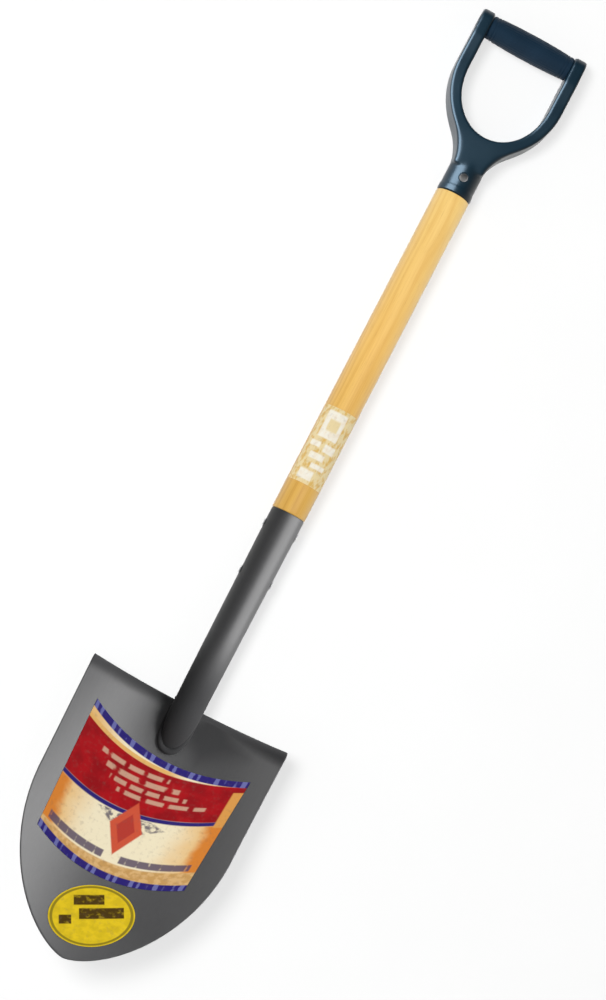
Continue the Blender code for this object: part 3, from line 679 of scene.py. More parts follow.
def yoke_outline():
    """The yoke's outline: up one arm's outside, past its boss, down the hand hole, and back."""
    side = [(NECK_HALF_WIDTH, NECK_Y)]
    side += bezier(side[-1], (NECK_HALF_WIDTH, 0.652), (0.0265, 0.667), CROTCH, 16)
    shoulder = (YOKE_HALF_WIDTH, HAND_CENTRE_Y + 0.003)
    side += bezier(CROTCH, (0.0448, 0.6868), (YOKE_HALF_WIDTH, 0.7075), shoulder, 26)
    side += [(YOKE_HALF_WIDTH, GRIP_TOP_Y + CUT), (HAND_HALF_WIDTH, GRIP_TOP_Y + CUT)]
    drop = HAND_CENTRE_Y - HAND_FLOOR_Y
    for angle in np.linspace(0, SQUARE, 29)[:-1]:
        side.append((HAND_HALF_WIDTH * cos(angle), HAND_CENTRE_Y - drop * sin(angle)))
    mirrored = [(-x, y) for x, y in reversed(side)]
    return side + [(0.0, HAND_FLOOR_Y)] + mirrored


def side_profile():
    """The yoke's room seen from its side: open below, then tapered to a boss round the crossbar."""
    wide = YOKE_HALF_DEPTH + CUT
    radius = GRIP_TOP_Y - CROSSBAR_Y
    front = [(FERRULE_MOUTH_Y - CUT, wide), (boss_line(wide), wide)]
    for angle in np.linspace(BOSS_TAPER, SQUARE, 24)[:-1]:
        front.append((CROSSBAR_Y + radius * sin(angle), radius * cos(angle)))
    profile = front + [(GRIP_TOP_Y, 0.0)] + [(y, -z) for y, z in reversed(front)]
    far = YOKE_HALF_WIDTH + CUT
    return loft("side_profile", [[Vector((x, y, z)) for y, z in profile] for x in (-far, far)])


def ferrule_body():
    """The grip's turned socket, with a thicker rim at its mouth."""
    low, top = FERRULE_MOUTH_Y, FERRULE_TOP_Y
    rim, wall = FERRULE_RIM_RADIUS, FERRULE_RADIUS
    profile = [
        (0, top + 0.010),
        (wall * 0.55, top + 0.008),
        (wall * 0.88, top + 0.001),
        (wall, top - 0.008),
        (wall, low + 0.0085),
        (rim, low + 0.0070),
        (rim, low + 0.0008),
        (rim - 0.0008, low),
        (0, low),
    ]
    return turned("ferrule", profile, "Y", (0, 0, 0), 128)


def rise(value, low, high):
    """Smooth step from 0 at low to 1 at high."""
    share = np.clip((value - low) / (high - low), 0, 1)
    return share * share * (3 - 2 * share)


def relax(obj, weight_of, passes):
    """Moves each point towards the middle of its neighbours, by the weight that it is given."""
    mesh = obj.data
    points = np.empty(len(mesh.vertices) * 3)
    mesh.vertices.foreach_get("co", points)
    points = points.reshape(-1, 3)
    ends = np.empty(len(mesh.edges) * 2, np.int32)
    mesh.edges.foreach_get("vertices", ends)
    a, b = ends.reshape(-1, 2).T
    count = np.bincount(np.concatenate([a, b]), minlength=len(points))[:, None]
    for _ in range(passes):
        total = np.zeros_like(points)
        np.add.at(total, a, points[b])
        np.add.at(total, b, points[a])
        points += (total / count - points) * weight_of(points)[:, None]
    mesh.vertices.foreach_set("co", points.ravel())
    mesh.update()
    return points


def make_yoke(plastic):
    """One moulding: the outline made thick, rounded, run into the ferrule, bored and pocketed."""
    outline = yoke_outline()
    rings = [[Vector((x, y, z)) for x, y in outline] for z in (-YOKE_HALF_DEPTH, YOKE_HALF_DEPTH)]
    yoke = cut(loft("yoke", rings), side_profile(), solver="MANIFOLD", operation="INTERSECT")
    bevelled(yoke, ARM_EDGE_RADIUS, 6, 50)
    body = ferrule_body()
    joined = bmesh.new()
    joined.from_mesh(yoke.data)
    joined.from_mesh(body.data)
    joined.to_mesh(yoke.data)
    joined.free()
    bpy.data.objects.remove(body)
    modified(yoke, "REMESH", mode="VOXEL", voxel_size=YOKE_VOXEL)
    blend_low, blend_high = FERRULE_TOP_Y - 0.014, FERRULE_TOP_Y + 0.026

    def near_neck(points):
        y = points[:, 1]
        leave = 1 - rise(y, blend_high - 0.014, blend_high)
        return 0.10 + 0.80 * rise(y, blend_low, blend_low + 0.010) * leave

    points = relax(yoke, near_neck, 26)
    y = points[:, 1]
    waist = rise(y, HAND_FLOOR_Y - 0.008, HAND_FLOOR_Y + 0.030)
    waist *= 1 - rise(y, CROSSBAR_Y - 0.048, CROSSBAR_Y - 0.016)
    points[:, 2] *= np.where(points[:, 2] > 0, 1 - ARM_WAIST * waist, 1)
    yoke.data.vertices.foreach_set("co", points.ravel())
    yoke.data.update()

    bore_top = FERRULE_MOUTH_Y + TENON_LENGTH + 0.001
    low = FERRULE_MOUTH_Y - CUT
    at, far = (0, CROSSBAR_Y, 0), YOKE_HALF_WIDTH + CUT
    floor = YOKE_HALF_WIDTH - COUNTERBORE_DEPTH
    rivet_at, rivet_far = (0, FERRULE_RIVET_Y, 0), FERRULE_RADIUS + CUT
    front, back = rivet_floors()
    cut(
        yoke,
        rod("bore", "Y", (0, 0, 0), FERRULE_BORE_RADIUS, low, bore_top),
        rod("bolt_hole", "X", at, BOLT_RADIUS + GAP, -far, far, 48),
        rod("head_pocket", "X", at, COUNTERBORE_RADIUS, floor, far),
        rod("nut_pocket", "X", at, COUNTERBORE_RADIUS, -far, -floor),
        rod("rivet_hole", "Z", rivet_at, RIVET_RADIUS + GAP, -rivet_far, rivet_far, 48),
        rod("front_seat", "Z", rivet_at, SPOT_FACE_RADIUS, front, rivet_far, 64),
        rod("back_seat", "Z", rivet_at, SPOT_FACE_RADIUS, -rivet_far, -back, 64),
    )
    finished(yoke, "moulded_yoke", plastic, "grip_plastic", "grip_yoke", sharp=40)


def rivet_floors():
    """How far the front and back seats of the ferrule's rivet lie from the axis."""
    return FERRULE_RADIUS - FRONT_SEAT_DEPTH, FERRULE_RADIUS - BACK_SEAT_DEPTH


def crossbar_sleeve(at):
    """The barrel-shaped sleeve, fluted along its middle, with two grooves near each end."""
    half, hole = HAND_HALF_WIDTH - GAP, BOLT_RADIUS + GAP
    end_radius, lip = CROSSBAR_END_RADIUS, CROSSBAR_LIP
    outer = []
    for height in np.linspace(half - lip, -(half - lip), 160):
        share = height / (half - lip)
        radius = end_radius + (CROSSBAR_MIDDLE_RADIUS - end_radius) * (1 - share**2)
        across = [(abs(height) - x) / GROOVE_HALF_WIDTH for x in CROSSBAR_GROOVES_X]
        dent = min(sum(exp(-(a**2)) for a in across), 1.0)
        outer.append((radius - GROOVE_DEPTH * dent, height))
    start = [(hole, half), (end_radius - lip, half), (end_radius - lip * 0.3, half - lip * 0.3)]
    end = [(radius, -height) for radius, height in reversed(start)]

    def fluted(angle, height):
        fade = 1 - rise(abs(height), *FLUTES_END_X)
        return 1 - FLUTE_SHARE * fade * (0.5 + 0.5 * cos(FLUTES * angle)) ** 2

    return turned("sleeve", start + outer + end + [(hole, half)], "X", at, 240, fluted)


def make_crossbar(sleeve_looks, zinc):
    at = (0, CROSSBAR_Y, 0)
    sleeve = crossbar_sleeve(at)
    finished(sleeve, "crossbar_sleeve", sleeve_looks, "crossbar_plastic", "grip_crossbar", sharp=50)

    seat = YOKE_HALF_WIDTH - COUNTERBORE_DEPTH + GAP
    top = seat + BOLT_HEAD_HEIGHT
    dome = [
        (BOLT_HEAD_RADIUS * sin(a), seat + BOLT_HEAD_HEIGHT * (0.35 + 0.65 * cos(a)))
        for a in np.linspace(0, SQUARE, 14)
    ]
    stem, stem_end = BOLT_STEM_RADIUS, -seat - GAP - NUT_HOLLOW
    profile = dome + [(BOLT_HEAD_RADIUS, seat), (BOLT_RADIUS, seat)]
    profile += thread(seat - 0.086, -seat + 0.002, stem)
    profile += [(stem, stem_end + 0.002), (stem, stem_end), (0, stem_end)]
    bolt = turned("bolt", profile, "X", at, 64)
    socket = hexagon("hex_socket", BOLT_RADIUS * 0.62, at, top - HEX_SOCKET_DEPTH, top + CUT)
    finished(cut(bolt, socket), "through_bolt", zinc, "bright_steel", "crossbar_bolt")

    nut_face, nut_top = -seat - GAP, -seat - BOLT_HEAD_HEIGHT
    cap_radius, cap_foot = BOLT_HEAD_RADIUS * 0.80, nut_face - 0.0002
    crown = [
        (cap_radius * sin(a), nut_top + NUT_CROWN * (1 - cos(a)))
        for a in np.linspace(0, SQUARE, 12)
    ]
    cap = turned("cap", crown + [(cap_radius, cap_foot), (0, cap_foot)], "X", at, 64)
    body = hexagon("hex_body", BOLT_HEAD_RADIUS, at, nut_top + 0.0014, nut_face)
    cut(bevelled(body, 0.0003, 2, 40), cap, operation="UNION")
    hollow = nut_face - NUT_HOLLOW - GAP
    cut(body, rod("nut_hole", "X", at, stem + GAP, hollow, nut_face + CUT, 48))
    finished(body, "cap_nut", zinc, "bright_steel", "crossbar_nut")

    front, back = rivet_floors()
    pin = rivet("pin", "Z", (0, FERRULE_RIVET_Y, 0), front, back, FERRULE_RIVET_CROWN)
    finished(pin, "ferrule_pin", zinc, "bright_steel", "ferrule_rivet")


def thread(start, end, stem, pitch=0.0010, depth=0.0004):
    """The bolt's threaded stretch, as rings of its profile, ending at its thinner stem."""
    points = []
    turns = int((start - end) / pitch)
    for k in range(turns):
        height = start - k * pitch
        points += [(BOLT_RADIUS, height), (BOLT_RADIUS - depth, height - pitch / 2)]
    return points + [(stem, end)]


def hexagon(name, radius, at, low, high):
    """A six-sided prism along X."""
    corners = [(radius * cos(radians(60) * k), radius * sin(radians(60) * k)) for k in range(6)]
    return loft(name, [[Vector(at) + Vector((x, y, z)) for y, z in corners] for x in (low, high)])


# ---- stickers


def turned_on_blade(x, s, angle):
    """Turns a point of the flattened blade anticlockwise, seen from its face with the tip down."""
    return x * cos(angle) - s * sin(angle), s * cos(angle) + x * sin(angle)


def film_height():
    """From the sheet's middle to a film's middle."""
    return BLADE_SHEET / 2 + FILM_LIFT + FILM / 2


def label_surface(u, v):
    """The blade sticker: its sides close in a little, and its top and foot sag towards the tip."""
    share = 2 * u - 1
    half = LABEL_TOP_HALF_WIDTH + (LABEL_FOOT_HALF_WIDTH - LABEL_TOP_HALF_WIDTH) * v
    foot = LABEL_FOOT_S - LABEL_FOOT_SLANT * share
    s = LABEL_TOP_S + (foot - LABEL_TOP_S) * v + LABEL_SAG * (1 - share**2)
    middle = (LABEL_TOP_S + LABEL_FOOT_S) / 2
    x, s = turned_on_blade(half * share, s - middle, LABEL_TURN)
    return blade_point(x, s + middle, film_height())


def wrap_surface(u, v):
    """The shaft's sticker: part of a tube round the wood."""
    angle = WRAP_FROM + (WRAP_TO - WRAP_FROM) * u
    radius = SHAFT_RADIUS + FILM_LIFT + FILM / 2
    y = WRAP_HIGH_Y + (WRAP_LOW_Y - WRAP_HIGH_Y) * v
    return Vector((-radius * cos(angle), y, radius * sin(angle)))


def thick_film(name, points, faces, places):
    """A film of its real thickness round these points, with each point's (u, v)."""
    made = mesh_object(name, points, faces)
    lay_out(made, places)
    return modified(made, "SOLIDIFY", thickness=FILM, offset=0.0, use_even_offset=True)


def film(name, surface, columns, rows):
    """A four-sided film over surface(u, v)."""
    places = [(i / columns, j / rows) for j in range(rows + 1) for i in range(columns + 1)]
    points = [surface(u, v) for u, v in places]
    return thick_film(name, points, grid_faces(columns + 1, rows + 1), places)


def oval_film(rings=26, sides=96):
    """An oval film: rings from its middle to its edge, on the blade's surface."""
    points = [blade_point(OVAL_CENTRE_X, OVAL_CENTRE_S, film_height())]
    places = [(0.5, 0.5)]
    for ring in range(1, rings + 1):
        for k in range(sides):
            angle = 2 * pi * k / sides
            right, up = cos(angle) * ring / rings, sin(angle) * ring / rings
            along, above = OVAL_HALF_LENGTH * right, OVAL_HALF_HEIGHT * up
            x = along * cos(OVAL_TURN) - above * sin(OVAL_TURN)
            s = -(along * sin(OVAL_TURN) + above * cos(OVAL_TURN))
            points.append(blade_point(OVAL_CENTRE_X + x, OVAL_CENTRE_S + s, film_height()))
            places.append((0.5 + right / 2, 0.5 + up / 2))
    faces = [(0, 1 + k, 1 + (k + 1) % sides) for k in range(sides)]
    for ring in range(rings - 1):
        for k in range(sides):
            low, high = 1 + ring * sides, 1 + (ring + 1) * sides
            after = (k + 1) % sides
            faces.append((low + k, high + k, high + after, low + after))
    return thick_film("oval", points, faces, places)


def make_stickers(label, yellow, pale):
    panel = film("label", label_surface, 90, 60)
    finished(panel, "blade_sticker", label, "label_film", "blade_label")
    finished(oval_film(), "oval_film", yellow, "yellow_film", "oval_sticker")
    wrap = film("wrap", wrap_surface, 60, 40)
    finished(wrap, "shaft_print", pale, "pale_film", "shaft_label")


# ---- materials


def put(tree, slot, value):
    """Gives an input a value, or links it where the value is a field or another socket."""
    if isinstance(value, Field):
        value = value.socket
    if isinstance(value, bpy.types.NodeSocket):
        tree.links.new(value, slot)
    else:
        slot.default_value = value


def new_node(tree, kind, **inputs):
    """A new shader node, with its named inputs put in."""
    node = tree.nodes.new("ShaderNode" + kind)
    for name, value in inputs.items():
        put(tree, node.inputs[name.replace("_", " ")], value)
    return node


class Field:
    """A number that varies over a surface.  Arithmetic on fields adds Math nodes to their tree."""

    def __init__(self, tree, socket):
        self.tree, self.socket = tree, socket

    def math(self, operation, *others):
        node = new_node(self.tree, "Math")
        node.operation = operation
        for slot, value in zip(node.inputs, (self, *others)):
            put(self.tree, slot, value)
        return Field(self.tree, node.outputs[0])

    def invert(self):
        return (self * -1.0) + 1.0

    def rise(self, low, high):
        """Smooth step from 0 at low to 1 at high."""
        node = new_node(self.tree, "MapRange", Value=self, From_Min=low, From_Max=high)
        node.interpolation_type = "SMOOTHSTEP"
        return Field(self.tree, node.outputs["Result"])

    def between(self, low, high, soft=0.006):
        """1 from low to high, 0 outside."""
        return self.rise(low - soft, low + soft) * self.rise(high - soft, high + soft).invert()


for method, operation in (
    ("__add__", "ADD"),
    ("__sub__", "SUBTRACT"),
    ("__mul__", "MULTIPLY"),
    ("__truediv__", "DIVIDE"),
    ("power", "POWER"),
    ("abs", "ABSOLUTE"),
    ("sine", "SINE"),
    ("less", "MINIMUM"),
    ("more", "MAXIMUM"),
):
    setattr(Field, method, partialmethod(Field.math, operation))


class Surface:
    """A material being made: its node tree, its shader, and ways of adding to it."""

    def __init__(self, name, **shader_values):
        self.material = bpy.data.materials.new(name)
        self.material.use_nodes = True
        self.tree = self.material.node_tree
        self.shader = self.tree.nodes["Principled BSDF"]
        self.normal = None
        for key, value in shader_values.items():
            self.drive(key.replace("_", " "), value)

    def place(self, output="Object"):
        """The point's x, y and z in the frame, or its u and v."""
        where = new_node(self.tree, "TexCoord").outputs[output]
        split = new_node(self.tree, "SeparateXYZ", Vector=where)
        return [Field(self.tree, socket) for socket in split.outputs]

    def noise(self, scale, detail=3.0, stretch=(1, 1, 1), rough=0.5, output="Object"):
        where = new_node(self.tree, "TexCoord").outputs[output]
        where = new_node(self.tree, "Mapping", Vector=where, Scale=stretch).outputs[0]
        values = {"Vector": where, "Scale": scale, "Detail": detail, "Roughness": rough}
        return Field(self.tree, new_node(self.tree, "TexNoise", **values).outputs[0])

    def edges(self):
        """How far a point lies on an outer edge: about 0.5 on a flat and more on a sharp edge."""
        return Field(self.tree, new_node(self.tree, "NewGeometry").outputs["Pointiness"])

    def colours(self, share, *stops):
        """A ramp of (place, colour) stops along a share."""
        node = new_node(self.tree, "ValToRGB")
        ramp = node.color_ramp
        while len(ramp.elements) < len(stops):
            ramp.elements.new(0.5)
        for element, (at, colour) in zip(ramp.elements, stops):
            element.position = at
            element.color = (*colour, 1.0)
        put(self.tree, node.inputs[0], share)
        return node.outputs[0]

    def over(self, below, *layers):
        """Lays (colour, mask) layers in turn over a colour: each shows where its mask is 1."""
        for colour, mask in layers:
            node = new_node(self.tree, "Mix")
            node.data_type = "RGBA"
            put(self.tree, node.inputs["Factor"], mask)
            for slot, value in ((node.inputs[6], below), (node.inputs[7], colour)):
                put(self.tree, slot, (*value, 1.0) if isinstance(value, tuple) else value)
            below = node.outputs[2]
        return below

    def drive(self, name, value):
        """Sets one of the shader's inputs."""
        put(self.tree, self.shader.inputs[name], value)

    def bump(self, height, distance, strength=1.0):
        """Adds a bump on top of those already there."""
        values = {"Height": height, "Distance": distance, "Strength": strength}
        if self.normal is not None:
            values["Normal"] = self.normal
        self.normal = new_node(self.tree, "Bump", **values).outputs[0]
        self.drive("Normal", self.normal)


def srgb(red, green, blue):
    """A screen colour from 0 to 255, as linear light."""
    values = [c / 255 for c in (red, green, blue)]
    return tuple(c / 12.92 if c <= 0.04045 else ((c + 0.055) / 1.055) ** 2.4 for c in values)


def steel_enamel(name, matte_and_painted_shade):
    """Baked dark grey enamel: orange peel, faint press streaks, and bare metal on worn edges.
    The mask that it is given, from x and y, is 1 where the coat is matte and darkened with painted
    shade, and 0 where it has its full gloss and own colour."""
    made = Surface(name, Specular_IOR_Level=0.5)
    clouds = made.noise(9.0, 4.0)
    grain = made.noise(260.0, 4.0, rough=0.6)
    streaks = made.noise(40.0, 3.0, stretch=(14.0, 0.5, 14.0))
    shade = clouds * 0.55 + grain * 0.20 + streaks * 0.25
    coat = made.colours(shade, (0.30, (0.027, 0.027, 0.028)), (0.70, (0.039, 0.039, 0.040)))
    x, y, _ = made.place()
    # The mask marks matte coat that is also painted shade: the near-black layer darkens the base
    # colour there, and the grey layer is bare metal on worn edges.
    dull = matte_and_painted_shade(x, y + clouds * 0.004)
    scuffs = made.noise(75.0, 5.0).rise(0.46, 0.66)
    worn = made.edges().rise(0.525, 0.60) * scuffs
    layers = ((0.012, 0.012, 0.013), dull * 0.85), ((0.23, 0.23, 0.24), worn * 0.65)
    made.drive("Base Color", made.over(coat, *layers))
    made.drive("Roughness", clouds * 0.10 + grain * 0.07 + dull * 0.52 + 0.38)
    made.bump(made.noise(900.0, 2.0), 0.00004, 0.6)
    made.bump(streaks, 0.00006, 0.4)
    return made.material


def zinc_plate():
    """Zinc plated steel, with a dull spangle."""
    made = Surface("zinc_plate", Metallic=1.0)
    spangle = made.noise(420.0, 2.0)
    shade = spangle * 0.6 + made.noise(60.0, 3.0) * 0.4
    metal = made.colours(shade, (0.3, (0.42, 0.43, 0.44)), (0.7, (0.66, 0.66, 0.66)))
    made.drive("Base Color", metal)
    made.drive("Roughness", spangle * 0.22 + 0.24)
    made.bump(made.noise(1600.0, 2.0), 0.00003, 0.5)
    return made.material


def lacquered_ash():
    """Ash under clear lacquer: growth rings drawn out along the shaft, and open pores."""
    made = Surface("lacquered_ash", Coat_Weight=0.45, Coat_Roughness=0.30, Coat_IOR=1.45)
    x, y, z = made.place()
    sway = made.noise(3.0, 2.0, stretch=(7.0, 1.0, 7.0))
    wander = made.noise(22.0, 3.0, stretch=(5.0, 0.35, 5.0))
    across = x * 0.55 + z * 0.83 + sway * 0.034 + wander * 0.0030
    rings = ((across * 950.0).sine() * 0.5 + 0.5).power(2.2)
    pores = made.noise(300.0, 3.0, stretch=(7.0, 0.16, 7.0), rough=0.65)
    fibres = made.noise(150.0, 4.0, stretch=(8.0, 0.10, 8.0), rough=0.6)
    low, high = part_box("ash_shaft")[0].y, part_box("ash_shaft")[1].y
    length = (y - low) / (high - low)
    tones = (0.30, (216, 170, 80), (190, 138, 56)), (0.62, (238, 192, 106), (220, 166, 78))
    tones += ((0.95, (243, 206, 126), (229, 182, 98)),)
    fresh = made.colours(length, *[(at, srgb(*light)) for at, light, _ in tones])
    ripe = made.colours(length, *[(at, srgb(*dark)) for at, _, dark in tones])
    late = (ripe, rings * 0.42 + fibres.rise(0.42, 0.68) * 0.38)
    open_pores = (srgb(168, 112, 48), pores.rise(0.60, 0.74) * 0.42)
    made.drive("Base Color", made.over(fresh, late, open_pores))
    made.drive("Roughness", fibres * 0.18 + 0.34)
    made.bump(pores.rise(0.56, 0.74).invert(), 0.00008, 0.35)
    made.bump(fibres, 0.00006, 0.3)
    return made.material


def grip_plastic():
    """Glossy blue-black moulding, with a parting line round its middle and fine mould texture."""
    made = Surface("grip_plastic", Specular_IOR_Level=0.42)
    _, _, z = made.place()
    flow = made.noise(16.0, 4.0)
    fine = made.noise(700.0, 2.0)
    shades = (0.3, (0.0008, 0.0050, 0.0078)), (0.7, (0.0018, 0.0078, 0.0112))
    made.drive("Base Color", made.colours(flow, *shades))
    made.drive("Roughness", flow * 0.16 + fine * 0.06 + 0.20)
    middle = (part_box("grip_yoke")[0].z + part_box("grip_yoke")[1].z) / 2
    seam = (z - middle).abs().rise(0.0001, 0.0005).invert()
    made.bump(seam, 0.00016, 0.7)
    made.bump(fine, 0.00003, 0.5)
    made.bump(made.noise(45.0, 3.0), 0.00025, 0.25)
    return made.material


def crossbar_plastic():
    """Matte navy sleeve with a stippled skin, a little rubbed along its flutes."""
    made = Surface("crossbar_plastic", Specular_IOR_Level=0.3)
    flow = made.noise(30.0, 4.0)
    stipple = made.noise(1300.0, 2.0)
    navy = made.colours(flow, (0.3, (0.0070, 0.0230, 0.0450)), (0.7, (0.0100, 0.0310, 0.0590)))
    rubbed = made.edges().rise(0.51, 0.60) * made.noise(120.0, 4.0).rise(0.40, 0.65)
    made.drive("Base Color", made.over(navy, ((0.030, 0.060, 0.100), rubbed * 0.5)))
    made.drive("Roughness", flow * 0.12 + stipple * 0.10 + 0.44)
    made.bump(stipple, 0.00007, 0.8)
    return made.material


def printed_film(name, art):
    """A glossy printed film: art(surface, u, v) gives its colour socket."""
    made = Surface(name, Specular_IOR_Level=0.35, Coat_Weight=0.08, Coat_Roughness=0.22)
    u, v, _ = made.place("UV")
    ink = made.noise(240.0, 4.0)
    grime = (srgb(120, 96, 88), ink.rise(0.50, 0.80) * 0.22)
    made.drive("Base Color", made.over(art(made, u, v), grime))
    made.drive("Roughness", ink * 0.16 + 0.36)
    made.bump(made.noise(38.0, 2.0), 0.0004, 0.30)
    made.bump(ink, 0.00003, 0.4)
    return made.material


def blade_label_art(made, u, v):
    """Bands of red, cream and blue with a plain lozenge in the middle and rows of blank bars."""
    blue, red = srgb(44, 34, 118), srgb(176, 14, 24)
    cream, tan = srgb(250, 238, 204), srgb(206, 160, 96)
    orange, ember = srgb(222, 134, 52), srgb(214, 88, 60)
    level = v + (u - 0.5) * 0.08
    split = v + (u - 0.5) * 0.18
    wobble = made.noise(26.0, 2.0, output="UV")
    patchy = made.noise(7.0, 3.0, output="UV")
    side = (u - 0.5).abs()

    worn_tan = made.over(tan, (srgb(226, 184, 124), wobble.rise(0.40, 0.60)))
    dashes = ((u * 92.0).sine() + wobble * 1.2).rise(-0.9, -0.2)
    row = level.between(0.800, 0.858) * side.rise(0.05, 0.06) * side.rise(0.455, 0.465).invert()
    band = level.rise(0.082, 0.094) * split.rise(0.449, 0.461).invert()
    layers = [
        (srgb(240, 196, 128), (side + patchy * 0.14).rise(0.26, 0.54)),
        (orange, (side + patchy * 0.10).rise(0.440, 0.505) * split.rise(0.48, 0.50)),
        (worn_tan, level.rise(0.865, 0.880)),
        (srgb(86, 72, 100), row * dashes * 0.9),
        (red, band),
        (srgb(140, 10, 20), band * patchy.rise(0.40, 0.62) * 0.7),
        (blue, split.between(0.455, 0.488)),
        (srgb(236, 186, 108), level.between(0.060, 0.090) * u.rise(0.55, 0.70).invert()),
        (srgb(226, 160, 80), u.rise(0.945, 0.955) * level.between(0.14, 0.46)),
    ]
    rows = ((0.16, 0.60, 0.130, 0.165, 52.0), (0.22, 0.68, 0.195, 0.235, 38.0))
    rows += ((0.27, 0.74, 0.262, 0.296, 60.0), (0.34, 0.86, 0.322, 0.355, 46.0))
    slant = level + (u - 0.5) * 0.10
    for low, high, top, foot, pieces in rows:
        broken = ((u * pieces).sine() + wobble * 0.8).rise(-0.55, -0.10)
        bar = u.between(low, high) * slant.between(top, foot) * broken
        layers.append((srgb(214, 172, 146), bar * 0.85))
    wings = (side * 4.6 + (level - 0.53).abs() * 8.5).rise(0.90, 1.06).invert()
    off = (level - 0.590).abs()
    border = v.rise(0.050, 0.058).invert().more(v.rise(0.945, 0.953))
    flecks = ((u * 130.0).sine() + (u * 47.0).sine() + wobble * 2.0).rise(1.3, 2.1)
    layers += [
        (srgb(128, 120, 122), wings * split.rise(0.488, 0.500) * wobble.rise(0.35, 0.60)),
        (ember, (side * 9.4 + off * 4.5).rise(0.92, 1.05).invert()),
        (srgb(188, 62, 50), (side * 17.0 + off * 8.2).rise(0.90, 1.10).invert()),
        (made.over(blue, (srgb(120, 124, 184), flecks * 0.8)), border),
    ]
    return made.over(cream, *layers)


def oval_art(made, u, v):
    """Yellow with a darker rim and three blank bars."""
    x, y = (u - 0.5) * 2.0, (v - 0.5) * 2.0
    reach = (x * x + y * y).power(0.5)
    layers = [
        (srgb(220, 190, 30), made.noise(9.0, 2.0, output="UV").rise(0.35, 0.65)),
        (srgb(150, 132, 30), reach.between(0.90, 0.965, 0.012)),
    ]
    ink = made.noise(14.0, 2.0, output="UV").rise(0.30, 0.50) * 0.35 + 0.65
    bars = (-0.40, 0.31, 0.36, 0.68), (-0.75, -0.46, -0.25, 0.04), (-0.28, 0.75, -0.10, 0.25)
    for left, right, low, high in bars:
        bar = x.between(left, right, 0.01) * y.between(low, high, 0.02)
        layers.append((srgb(78, 58, 14), bar * ink))
    return made.over(srgb(236, 204, 34), *layers)


def shaft_print_art(made, u, v):
    """Pale print that lets the wood's tone through, with blank lighter blocks."""
    gold, pale, white = srgb(226, 186, 104), srgb(238, 218, 168), srgb(250, 246, 234)
    worn = made.noise(11.0, 3.0, output="UV")
    layers = [(pale, worn.rise(0.36, 0.56))]
    blocks = ((0.22, 0.70, 0.05, 0.40), (0.14, 0.40, 0.46, 0.53), (0.50, 0.78, 0.46, 0.56))
    blocks += ((0.26, 0.62, 0.60, 0.68), (0.40, 0.74, 0.73, 0.79), (0.22, 0.56, 0.83, 0.95))
    for left, right, low, high in blocks:
        block = u.between(left, right, 0.02) * v.between(low, high, 0.012)
        layers.append((white, block * (worn * 0.6 + 0.55).less(1.0)))
    layers.append((pale, u.between(0.34, 0.60, 0.02) * v.between(0.15, 0.30, 0.02)))
    return made.over(gold, *layers)


# ---- studio


def make_camera():
    camera = bpy.data.objects.new("camera", bpy.data.cameras.new("camera"))
    bpy.context.scene.collection.objects.link(camera)
    camera.data.lens = CAMERA_LENS
    camera.data.sensor_width = SENSOR_WIDTH
    camera.data.clip_start = 0.05
    camera.data.clip_end = 50.0
    back = CAMERA_BACK.normalized()
    up = (Vector((0, 1, 0)) - back * back.y).normalized()
    level = Matrix((up.cross(back), up, back)).transposed().to_4x4()
    roll = Matrix.Rotation(CAMERA_ROLL, 4, "Z")
    camera.matrix_world = Matrix.Translation(CAMERA_AIM + back * CAMERA_DISTANCE) @ level @ roll
    bpy.context.scene.camera = camera


def make_floor():
    """A wide pale floor, finely uneven."""
    corners = (-1, -1), (1, -1), (1, 1), (-1, 1)
    points = [(x * FLOOR_HALF, y * FLOOR_HALF, 0.0) for x, y in corners]
    floor = mesh_object("floor", points, [(0, 1, 2, 3)])
    made = Surface("floor_paper", Specular_IOR_Level=0.1, Roughness=0.9)
    greys = (0.3, (0.348, 0.348, 0.348)), (0.7, (0.352, 0.352, 0.352))
    made.drive("Base Color", made.colours(made.noise(6.0, 3.0), *greys))
    floor.data.materials.append(made.material)


def lamp(name, kind, at, aim, words):
    """A lamp, unseen itself, that lights only the objects whose names hold one of the words."""
    made = bpy.data.objects.new(name, bpy.data.lights.new(name, kind))
    bpy.context.scene.collection.objects.link(made)
    made.location = at
    made.rotation_mode = "QUATERNION"
    made.rotation_quaternion = (Vector(aim) - Vector(at)).to_track_quat("-Z", "Y")
    made.visible_camera = False
    lit = bpy.data.collections.new(name + "_lights")
    for obj in bpy.context.scene.objects:
        if obj.type == "MESH" and any(word in obj.name for word in words):
            lit.objects.link(obj)
    made.light_linking.receiver_collection = lit
    return made


def softbox(name, at, aim, size, power, *words, colour=(1.0, 1.0, 1.0), gloss=True):
    """A rectangular lamp that its objects may mirror."""
    made = lamp(name, "AREA", at, aim, words)
    made.data.shape = "RECTANGLE"
    made.data.size, made.data.size_y = size
    made.data.energy = power
    made.data.color = colour
    made.visible_glossy = gloss


def make_sky():
    """Soft light all round, brighter towards the horizon than overhead, and dim past the grip."""
    world = bpy.data.worlds.new("studio")
    world.use_nodes = True
    tree = world.node_tree
    where = new_node(tree, "TexCoord").outputs["Generated"]
    split = new_node(tree, "SeparateXYZ", Vector=where)
    height = {"From_Max": 0.6, "To_Min": SKY_AT_HORIZON, "To_Max": SKY_OVERHEAD}
    length = {"From_Min": -0.1, "From_Max": 0.7, "To_Min": 1.0, "To_Max": SKY_PAST_THE_GRIP}
    by_height = new_node(tree, "MapRange", Value=split.outputs["Z"], **height).outputs[0]
    by_length = new_node(tree, "MapRange", Value=split.outputs["Y"], **length).outputs[0]
    background = tree.nodes["Background"]
    put(tree, background.inputs["Strength"], Field(tree, by_height) * Field(tree, by_length))
    put(tree, background.inputs["Color"], (1.0, 1.0, 1.0, 1.0))
    bpy.context.scene.world = world


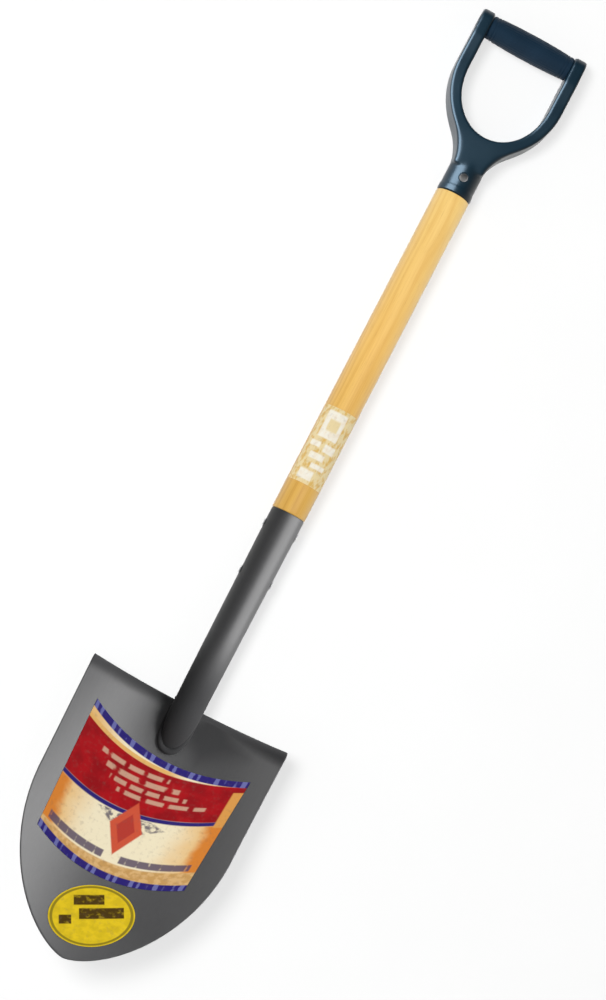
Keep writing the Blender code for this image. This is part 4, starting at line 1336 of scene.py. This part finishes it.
def light_studio():
    """A key from the upper left that casts the floor's shadows, even fills, softboxes that shape
    the steel, a strip over the wood and a cool box on the left that edges the grip."""
    bpy.context.scene.view_settings.view_transform = "Standard"
    make_sky()
    blade, shank = ("pressed_blade",), ("steel_shank", "weld", "socket_pin")
    grip = ("moulded_yoke", "sleeve", "bolt", "nut", "ferrule_pin")
    unpainted = ("shaft", "film", "print", "sticker", *grip)
    origin, steel = (0, 0, 0), (0, -0.35, 0.05)
    softbox("key", (-1.15, 0.0, 2.95), origin, (1.0, 1.0), 72, "floor", gloss=False)
    even = lamp("floor_fill", "SUN", (0, 0, 6), origin, ("floor",))
    even.data.energy = FLOOR_FILL
    even.data.use_shadow = False
    even.visible_glossy = False
    softbox("top_fill", (-0.5, 0, 4), origin, (2.5, 2.5), 126, *unpainted, gloss=False)
    softbox("wood_strip", (0.45, 0.1, 2.2), (0, 0.1, 0), (0.4, 2.0), 8, "turned_shaft")
    softbox("right_box", (1.0, 0.52, 0.60), steel, (0.9, 1.6), 57, *blade)
    softbox("high_right_box", (0.75, 0.15, 1.0), (0, -0.45, 0.05), (0.5, 0.5), 6, *blade)
    softbox("low_left_box", (-1.2, -0.10, 0.60), steel, (0.8, 1.2), 11, *blade)
    softbox("shank_box", (0.98, 0.15, 0.72), (0, -0.1, 0.04), (1.2, 2.0), 60, *shank)
    cool, yoke_at = (0.56, 0.78, 1.0), (0, 0.42, 0.02)
    softbox("left_box", (-0.7, 0.45, 0.75), yoke_at, (1.2, 1.0), 56, "moulded_yoke", colour=cool)


def blade_matte_and_painted_shade(x, y):
    """Matte along the fold and in a patch beside the nose, and darkened in both with painted shade.
    """
    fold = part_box("blade")[1].y
    patch = ((x - 0.034).abs() + (y - fold + 0.022).abs()).rise(0.015, 0.060).invert()
    return y.rise(fold - 0.018, fold - 0.003).more(patch * 0.85)


def shank_matte_and_painted_shade(_, y):
    """Matte and darkened with painted shade at the foot, with the gloss and the coat's own colour
    coming in up the tube.
    """
    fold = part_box("blade")[1].y
    return y.rise(fold + 0.002, fold + 0.092).invert()


zinc_coat = zinc_plate()
blade_coat = steel_enamel("blade_enamel", blade_matte_and_painted_shade)
shank_coat = steel_enamel("shank_enamel", shank_matte_and_painted_shade)
make_steel(blade_coat, shank_coat, zinc_coat)
make_shaft(lacquered_ash())
make_yoke(grip_plastic())
make_crossbar(crossbar_plastic(), zinc_coat)
make_stickers(
    printed_film("label_print", blade_label_art),
    printed_film("oval_print", oval_art),
    printed_film("shaft_print_ink", shaft_print_art),
)
make_camera()
make_floor()
light_studio()
